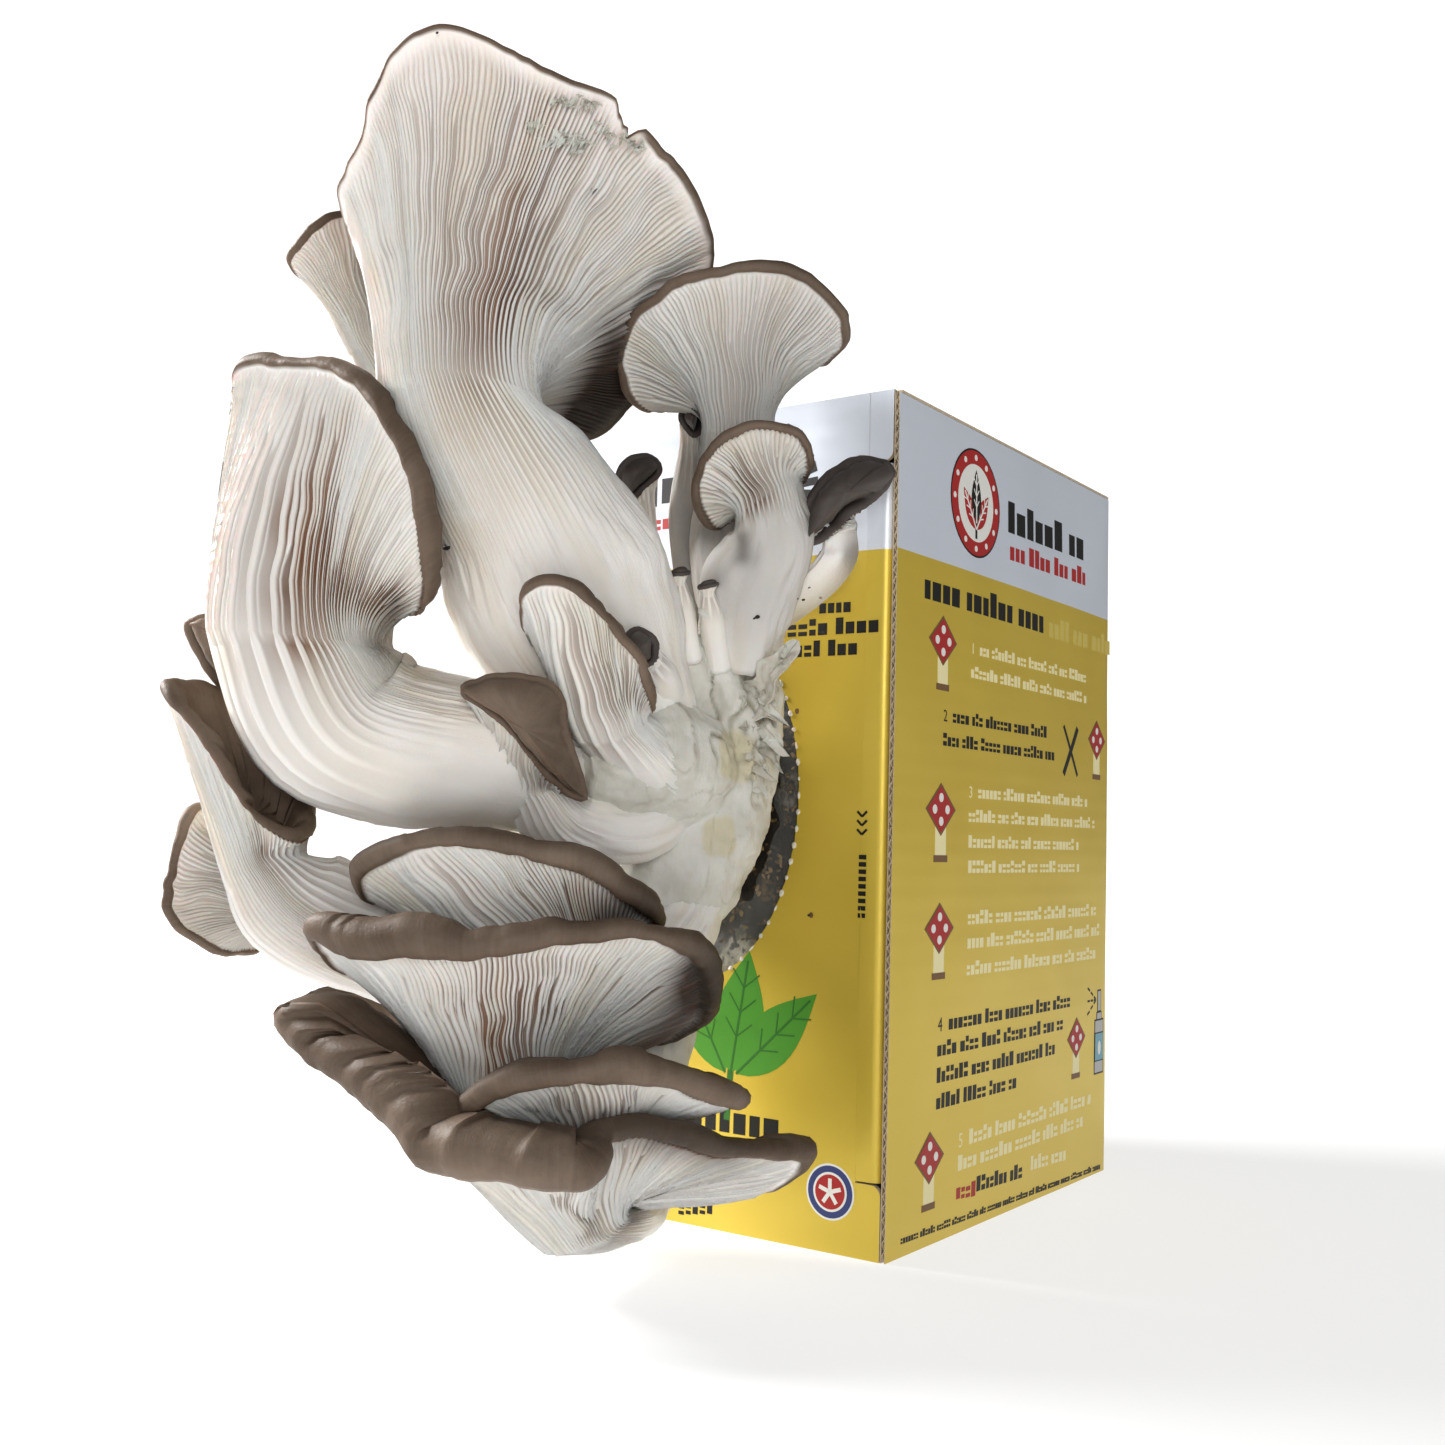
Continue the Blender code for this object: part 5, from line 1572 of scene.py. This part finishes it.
grow("left_lower_mushroom", "gilled_flesh", gills=104, edge=3, flesh=5, seed=103,
     stem=[(-2, -110, 75, 10, 9), (-26, -127.5, 65.5, 11, 10), (-47.5, -147, 71, 12, 10),
           (-65.5, -164, 84, 12, 10), (-73.5, -178.5, 96, 9, 9)],
     rim=[(-72, -211.5, 122), (-70.5, -217, 114), (-72, -219.5, 101), (-73.5, -217.5, 93.5),
          (-73.5, -209.5, 87), (-77.5, -194.5, 82.5), (-87, -177, 84.5), (-93, -171, 106),
          (-87.5, -188, 120)])


# Shelves
# Below them the caps grew flat over one another, like shelves, with thick wavy rims that turn down.
# The lowest is the widest, and the edge of a small one shows behind it.

grow("bottom_back_mushroom", "brown_cap_flesh", gills=70, edge=3.5, flesh=5, crown=(-45, -171, 73),
     seed=123,
     stem=[(-2, -109.5, 57.5, 10, 9), (-20, -119.5, 51, 11, 11), (-36, -132.5, 43.5, 11, 10),
           (-45.5, -149.5, 49.5, 10, 9)],
     rim=[(-60, -183.5, 67.5), (-64.5, -174.5, 70.5), (-62, -161, 73), (-54, -149, 72.5),
          (-43.5, -145, 68.5), (-41, -155, 61.5), (-44.5, -169.5, 62), (-50, -180, 66.5)])

grow("upper_shelf_mushroom", "gilled_flesh", gills=148, edge=4, flesh=6, depth=2.6, seed=143,
     stem=[(16, -111, 99.5, 14, 13), (18, -123, 87, 13, 12), (21, -152, 77.5, 11, 9)],
     rim=[(-16.5, -202.5, 103, 5), (-11.5, -204.5, 108, 6), (-1.5, -202.5, 113, 6.5),
          (12.5, -197, 115.5, 7), (24.5, -189.5, 113.5, 7), (34.5, -179.5, 109.5, 6.5),
          (41, -169.5, 103.5, 6.5), (43, -157.5, 97, 6), (31, -143.5, 94, 3), (9.5, -139.5, 95.5, 3),
          (-15, -149.5, 99, 3), (-27, -170.5, 100.5, 3), (-22.5, -191.5, 99, 3)],
     rust=[((23, -187, 111), (34, -169, 98), 11, 0.4), ((27, -176, 101), (41, -161, 98), 12, 0.7),
           ((2, -197, 105), (23, -187, 108), 8, 0.3)],
     # Painted shade on the cap's right end, which lies in shadow
     aged=[((45, -165, 100), (37, -165, 97), 7, 0.7)])

grow("middle_shelf_mushroom", "gilled_flesh", gills=182, edge=5, flesh=7, depth=2.6, seed=163,
     stem=[(8, -128, 36.5, 15, 13), (7, -145.5, 35, 14, 13), (5, -166.5, 46.5, 14, 12)],
     rim=[(-21, -213.5, 91, 6), (-8.5, -213, 88.5, 9), (8, -207.5, 88.5, 11), (23, -199, 89, 10),
          (34.5, -190, 91.5, 8), (43.5, -180, 93, 6), (51, -166.5, 93, 6), (53, -152.5, 87, 8),
          (49.5, -141.5, 78, 8), (40.5, -134.5, 68.5, 8), (26.5, -134.5, 62.5, 5), (6.5, -139, 66.5, 3),
          (-15, -152, 74, 3), (-26.5, -175.5, 80, 4), (-26.5, -198, 81.5, 5)],
     rust=[((18, -198, 84), (14, -186, 61), 13, 1.0), ((13, -207, 87), (30, -178, 77), 9, 0.7),
           ((37, -155, 73), (45, -145, 76), 14, 0.9)],
     # Painted shade on the cap's right end and rim, which lie in shadow
     aged=[((47, -142, 76), (29, -140, 62), 12, 0.8), ((50, -150, 90), (53, -147, 78), 9, 0.9)])

grow("lower_shelf_mushroom", "gilled_flesh", gills=132, edge=5, flesh=6, depth=2.6, seed=183,
     stem=[(8, -121, 42.5, 11, 10), (19, -130.5, 34.5, 10, 9), (25.5, -145, 34, 10, 7),
           (29, -157.5, 38, 9, 6)],
     rim=[(17, -198.5, 46.5, 6), (20.5, -199, 51, 7.5), (26.5, -197.5, 56, 8), (34, -195, 59, 8),
          (43.5, -188.5, 60.5, 8), (51.5, -180.5, 60.5, 8), (57, -169, 59, 8), (59.5, -157, 55, 7.5),
          (61, -144.5, 51, 7), (50.5, -135.5, 47.5, 3), (33, -135.5, 43.5, 3), (18.5, -143, 42, 3),
          (11, -163, 41, 3), (10.5, -183, 41, 4)],
     rust=[((29, -190, 50), (48, -169, 53), 10, 0.3), ((25, -180, 44), (40, -165, 42), 9, 0.5)])

grow("bottom_mushroom", "gilled_flesh", gills=226, edge=4, flesh=6, depth=2.6, seed=203,
     stem=[(6, -117, 39, 10, 9), (8.5, -115.5, 23.5, 10, 9), (15.5, -129, 14, 10, 7),
           (25, -161, 17, 12, 8)],
     rim=[(-32, -210.5, 66, 9), (-12, -210, 57.5, 11), (5, -207, 48, 12), (17, -206.5, 40, 12),
          (32.5, -201.5, 39, 12), (45.5, -195, 38, 12), (50.5, -190, 38.5, 12), (50, -184.5, 42.5, 10),
          (46.5, -179, 45, 7), (47, -171, 45.5, 7), (52, -161.5, 44, 7), (57, -143.5, 38.5, 7),
          (65, -118, 34, 7), (54.5, -116, 24.5, 3), (41, -122.5, 20.5, 3), (26.5, -139, 21, 3),
          (13.5, -157.5, 29.5, 3), (-1, -173, 45.5, 3), (-18.5, -185.5, 61.5, 4),
          (-30, -199.5, 70.5, 7)],
     rust=[((25, -193, 32), (23, -175, 17), 12, 0.9), ((40, -170, 40), (55, -140, 36), 8, 0.4)],
     # Painted shade on the rim's right end, which lies in shadow
     aged=[((50, -171, 45), (58, -143, 40), 8, 0.8)])


# Small mushrooms in the middle
# Young ones between the giant and the shelves: one with its gills turned to the right, one whose
# brown cap covers its stem, and the dark tip of a third behind them.

grow("centre_mushroom", "gilled_flesh", gills=90, edge=3, flesh=5, depth=2.2, seed=223,
     stem=[(21.5, -115, 132.5, 9, 8), (24, -135, 136, 11, 10), (24, -154.5, 147, 10, 9)],
     rim=[(18, -184.5, 173.5, 3), (21, -187.5, 177.5, 3.5), (27, -186, 180, 3.5), (35, -181.5, 177, 3.5),
          (40.5, -174.5, 169, 3.5), (42.5, -166.5, 160.5, 3.5), (40, -157.5, 151.5, 3),
          (31, -149, 154, 2), (19, -149, 165, 2), (13, -156.5, 173, 2), (13.5, -168, 171.5, 2),
          (15, -178, 169, 2)],
     rust=[((36, -178, 171), (33.5, -163, 153), 8, 0.5), ((28, -177, 167), (24, -170, 150), 6, 0.2)])

grow("brown_cap_mushroom", "brown_cap_flesh", gills=68, edge=2.5, flesh=4, crown=(22, -186.5, 144),
     seed=243,
     stem=[(19, -116, 128.5, 10, 9), (13.5, -136.5, 120, 13, 11), (7, -153.5, 122, 12, 9),
           (6, -165, 133, 8, 7)],
     rim=[(6, -191.5, 152.5), (10.5, -191, 156), (15.5, -187.5, 157.5), (21.5, -174.5, 155),
          (20.5, -167.5, 141), (22.5, -162.5, 127.5), (18, -171, 131.5), (14.5, -183.5, 143.5)])

# What the dark young ones have in common
YOUNG = {"dark": 1.0, "wrinkles": 0.2, "roll": 0.8, "gill_rows": 16, "stem_rows": 24}
grow("grey_tip_mushroom", "dark_cap_flesh", gills=26, edge=2, flesh=4, crown=(40.5, -164.5, 165.5),
     depth=0.5, seed=263, **YOUNG,
     stem=[(25.5, -133.5, 157, 6, 6), (30.5, -143, 161, 5, 5), (32.5, -150.5, 164.5, 4, 4)],
     rim=[(33.5, -155.5, 172), (35.5, -152.5, 170.5), (36.5, -151.5, 167.5), (36.5, -152.5, 164),
          (35.5, -155.5, 162), (33.5, -158, 162), (32, -160.5, 164), (31.5, -160, 167.5),
          (32, -158.5, 170.5)])


# Mushrooms on the upper right
# A trumpet that leans over the carton's top, and three small ones close before the front: one with a
# pale cap, one dark on a bent stem, and a dark knob. The trumpet's and the knob's stems are darkened
# with painted shade, where they lie in the giant's shadow.

grow("trumpet_mushroom", "gilled_flesh", gills=136, edge=3.5, flesh=6, seed=283,
     stem=[(28, -101, 180.5, 11, 8), (26.5, -102.5, 196.5, 13, 10), (29, -106, 216.5, 12, 10),
           (36.5, -117, 235.5, 10, 9)],
     rim=[(11.5, -140, 254.5), (22.5, -145.5, 262.5), (35.5, -146.5, 267), (50, -142.5, 269.5),
          (63, -133.5, 269.5), (70, -122, 264.5), (68, -110.5, 257.5), (56, -104, 254), (40, -96, 262),
          (22.5, -96.5, 263.5), (11, -106, 253.5), (8, -117, 243.5), (8, -130.5, 244)],
     # Painted shade on the stem and gills, which lie in the giant's shadow
     aged=[((28, -102, 192), (28, -104, 218), 24, 0.55), ((30, -128, 246), (58, -120, 256), 24, 0.2)])

grow("right_small_mushroom", "gilled_flesh", gills=84, edge=3, flesh=5, depth=2.0, fade=0.12, seed=303,
     stem=[(31.5, -107, 169, 11, 10), (40.5, -114, 188, 14, 12), (49, -117.5, 201, 12, 10),
           (51.5, -123, 211.5, 10, 8)],
     rim=[(36, -135, 210.5), (41, -140.5, 217), (49, -142.5, 223), (57.5, -139.5, 226.5),
          (64, -132.5, 226.5), (65, -124, 221.5), (57, -114.5, 218), (43, -107.5, 223.5),
          (34, -109, 218.5), (33, -116, 208.5), (34, -125, 204.5)],
     rust=[((48, -137, 217), (53, -130, 209), 6, 0.8), ((40, -135, 213), (48, -131, 208), 5, 0.5)],
     # Painted shadow: a small grey spot, and painted shade on the stem, which lies in the giant's shadow
     aged=[((46.4, -127.4, 200), (46.4, -127.4, 195), 2.8, 0.4),
           ((44, -117, 190), (50, -119, 203), 22, 0.45)])

grow("right_dark_mushroom", "dark_cap_flesh", gills=60, edge=3, flesh=5, crown=(71.5, -115, 212.5),
     dark=1.0, fade=0.05, seed=323,
     stem=[(30.5, -102.5, 175.5, 8, 8), (43.5, -101, 181.5, 7.5, 7.5), (55, -100, 189, 7.5, 7),
           (62, -99.5, 197, 7.2, 7), (63.5, -101.5, 206, 6, 6)],
     rim=[(57, -113.5, 202), (58.5, -115, 208.5), (60.5, -113, 215), (63, -108, 221), (66, -101.5, 225),
          (69.5, -94, 225.5), (71.5, -91, 222.5), (70.5, -92.5, 217.5), (67, -95, 214),
          (64, -99.5, 210.5), (62.5, -105, 205.5), (60, -109.5, 201), (58, -112.5, 200)])

grow("knob_mushroom", "dark_cap_flesh", gills=22, edge=2, flesh=4, crown=(24.5, -123, 237), depth=0.5,
     seed=343, **YOUNG,
     stem=[(15.5, -101.5, 184, 7, 6), (11, -104.5, 212.5, 6.5, 5.5), (15.5, -111, 233.5, 3.5, 3.5)],
     rim=[(17, -118, 242.5), (19, -117, 244), (21, -114, 243.5), (21.5, -113.5, 240),
          (21, -114.5, 235.5), (20, -116.5, 234.5), (18, -118, 237), (17, -119, 239.5)],
     # Painted shade on the stem, which lies in the giant's shadow
     aged=[((15, -101, 186), (14, -106, 226), 14, 0.8)])


# Pins
# The youngest: thin stems with dark unopened heads, one before the carton's band and two that grew
# side by side out of the foot.

grow("band_pin", "dark_cap_flesh", gills=26, edge=2, flesh=4.5, crown=(11, -130.5, 221.5), depth=0.5,
     seed=363, **YOUNG,
     stem=[(-6, -103, 190, 6, 5), (-4, -109, 203, 6, 5), (0, -116, 217, 5, 5)],
     rim=[(1, -127.5, 222), (2.5, -127, 226), (4.5, -124.5, 228.5), (7.5, -121, 229), (9.5, -118.5, 227),
          (9.5, -118, 224), (8, -120, 221.5), (6.5, -122, 219), (4.5, -124.5, 215.5), (2, -126, 216.5)])

grow("twin_pin_left", "gilled_flesh", gills=16, edge=1, flesh=1.8, crown=(31, -135.5, 192), depth=0.2,
     seed=383, **YOUNG,
     stem=[(25.5, -121.5, 168, 3.4, 3.4), (28.3, -130.3, 182, 3.3, 3.3), (29.5, -133.5, 188, 1.8, 1.8)],
     rim=[(32.5, -133, 190.5), (31, -132, 191), (29.5, -132, 191), (28, -133, 190.5),
          (27.5, -134.5, 190), (27.5, -136, 189.5), (29, -137, 189.5), (31, -137, 189.5),
          (32.5, -136.5, 189.5), (33, -134.5, 190)])

grow("twin_pin_right", "gilled_flesh", gills=16, edge=1, flesh=1.8, crown=(38, -131.5, 188.5), depth=0.2,
     seed=403, **YOUNG,
     stem=[(32.3, -117, 165.5, 3.4, 3.4), (35.2, -125.8, 179, 3.3, 3.3), (36.5, -129.5, 185, 1.8, 1.8)],
     rim=[(39.5, -129, 187.5), (38.5, -128, 187.5), (36.5, -128, 187.5), (35, -129, 187.5),
          (34.5, -130.5, 187), (35, -132, 186.5), (36, -133, 186), (38, -133, 186), (39.5, -132, 186.5),
          (40, -130.5, 187)])


# Torn gills and crumbs
# Beside the nick in the giant's rim its gills have torn across, and their ends curl up as short
# white strips. Crumbs of sawdust from the block stick to some of the stems.

# Start and end of each row of strips, their number, length and width
TORN_ROWS = [
    ((24.5, -187.5, 306), (30.5, -175, 307.5), 15, 3.0, 1.5),
    ((20, -189.5, 299), (28, -175, 297), 22, 4.2, 1.7),
    ((29.5, -174, 301.5), (34.5, -160.5, 301), 12, 3.6, 2.2)]
dice = np.random.default_rng(31)
strips = []
for start, end, count, length, width in TORN_ROWS:
    for number in range(count):
        root = np.array(start) + (np.array(end) - start) * (number + dice.uniform(0, 1)) / count
        root += dice.normal(0, (0.3, 0.3, 0.9))
        reach = np.array([dice.uniform(-0.5, 0.3), dice.uniform(-0.75, -0.4), -0.8]) * length
        strips.append((root, root + reach * dice.uniform(0.6, 1.15), width * dice.uniform(0.6, 1.2),
                       dice.choice([60, 90, -40]), 0.5))
keep(rag_piece("giant_mushroom.torn_gills", strips, 500, 0.1, 0.1), "gilled_flesh")

# Place and half size of each crumb
CRUMBS = [
    ((-4.9, -189.2, 191.4), 1.1), ((46.9, -120.4, 179.1), 0.8), ((45.9, -120.6, 178.8), 0.6),
    ((53.1, -109.6, 185.3), 0.4), ((52.2, -105.0, 185.7), 0.5), ((56.8, -103.2, 186.2), 0.5),
    ((54.2, -105.2, 189.0), 0.4), ((9.6, -213.5, 315.4), 0.4), ((43.4, -84.2, 95.8), 0.5)]
crumbs = bmesh.new()
for place, half in CRUMBS:
    squashed = Matrix.Translation(Vector(place) * MM) @ Matrix.Diagonal((1.2, 0.6, 0.7, 1))
    bmesh.ops.create_icosphere(crumbs, subdivisions=2, radius=half * MM, matrix=squashed)
keep(show(mesh_of(crumbs, "cluster_base.crumbs", SAWDUST)), "sawdust")


# Floor, light and camera
# A plain pale floor that runs out of sight, a large soft key light from the upper left of the
# camera, a weaker one from its right, and the camera where the photograph was taken from.

# The stage is in metres and watts
HALF_FLOOR = 12.0
FLOOR_GLOW = 0.68
FILL = 0.15
KIT_MIDDLE = (0.0, -0.12, 0.16)
LIGHT_SIZE = 0.6
CAMERA_PLACE = (0.2844, -0.4728, 0.1181)
YAW, PITCH, ROLL = radians(35.17), radians(4.23), radians(1.48)
FOCAL_PIXELS, FRAME_PIXELS, SENSOR = 1545.1, 1445, 36.0


def floor_finish():
    """Pale studio floor. It glows, so that it runs into the white walls and lights the undersides."""
    plain = Finish("floor", roughness=0.9, specular_ior_level=0.1, emission_strength=1.0)
    away = plain.node("VectorMath", {0: plain.object_place()}, out="Value", operation="LENGTH")
    seen = plain.node("LightPath", out="Is Camera Ray")
    near = plain.mix(seen, (FLOOR_GLOW,) * 3, (0.62, 0.62, 0.62))
    far = plain.mix(seen, (FLOOR_GLOW,) * 3, (1.0, 1.0, 1.0))
    glow = plain.mix(plain.rise(away, 0.25, 0.9), near, far)
    return plain.wear(base_color=(0.38, 0.38, 0.38, 1), emission_color=glow)


def soft_light(name, place, power):
    lamp = bpy.data.lights.new(name, "AREA")
    lamp.shape, lamp.size, lamp.energy = "DISK", LIGHT_SIZE, power
    light = bpy.data.objects.new(name, lamp)
    bpy.context.scene.collection.objects.link(light)
    light.location = place
    light.rotation_euler = (Vector(KIT_MIDDLE) - Vector(place)).to_track_quat("-Z", "Y").to_euler()


floor_mesh = bpy.data.meshes.new("floor")
floor_corners = [(x * HALF_FLOOR, y * HALF_FLOOR, 0) for x, y in ((-1, -1), (1, -1), (1, 1), (-1, 1))]
floor_mesh.from_pydata(floor_corners, [], [(0, 1, 2, 3)])
floor_mesh.materials.append(floor_finish())
floor = bpy.data.objects.new("floor", floor_mesh)
bpy.context.scene.collection.objects.link(floor)

soft_light("window_light", (-1.22, -0.58, 0.97), 42)
soft_light("side_light", (0.95, -1.35, 0.45), 6.2)


def studio_world():
    """White walls that give a weak fill, and are plain white to the camera."""
    world = bpy.data.worlds.new("studio")
    world.use_nodes = True
    nodes, links = world.node_tree.nodes, world.node_tree.links
    walls = nodes["Background"]
    walls.inputs["Color"].default_value = (1, 1, 1, 1)
    seen = nodes.new("ShaderNodeLightPath")
    strength = nodes.new("ShaderNodeMapRange")
    strength.inputs["To Min"].default_value = FILL
    strength.inputs["To Max"].default_value = 1.0
    links.new(seen.outputs["Is Camera Ray"], strength.inputs["Value"])
    links.new(strength.outputs["Result"], walls.inputs["Strength"])
    return world


bpy.context.scene.world = studio_world()
bpy.context.scene.view_settings.view_transform = "Standard"
bpy.context.scene.view_settings.look = "Medium High Contrast"

lens = bpy.data.cameras.new("camera")
lens.sensor_width = SENSOR
lens.lens = FOCAL_PIXELS / FRAME_PIXELS * SENSOR
lens.clip_start = 0.01
camera = bpy.data.objects.new("camera", lens)
bpy.context.scene.collection.objects.link(camera)
camera.matrix_world = (Matrix.Translation(CAMERA_PLACE) @ Matrix.Rotation(YAW, 4, "Z")
                       @ Matrix.Rotation(pi / 2 + PITCH, 4, "X") @ Matrix.Rotation(ROLL, 4, "Z"))
bpy.context.scene.camera = camera
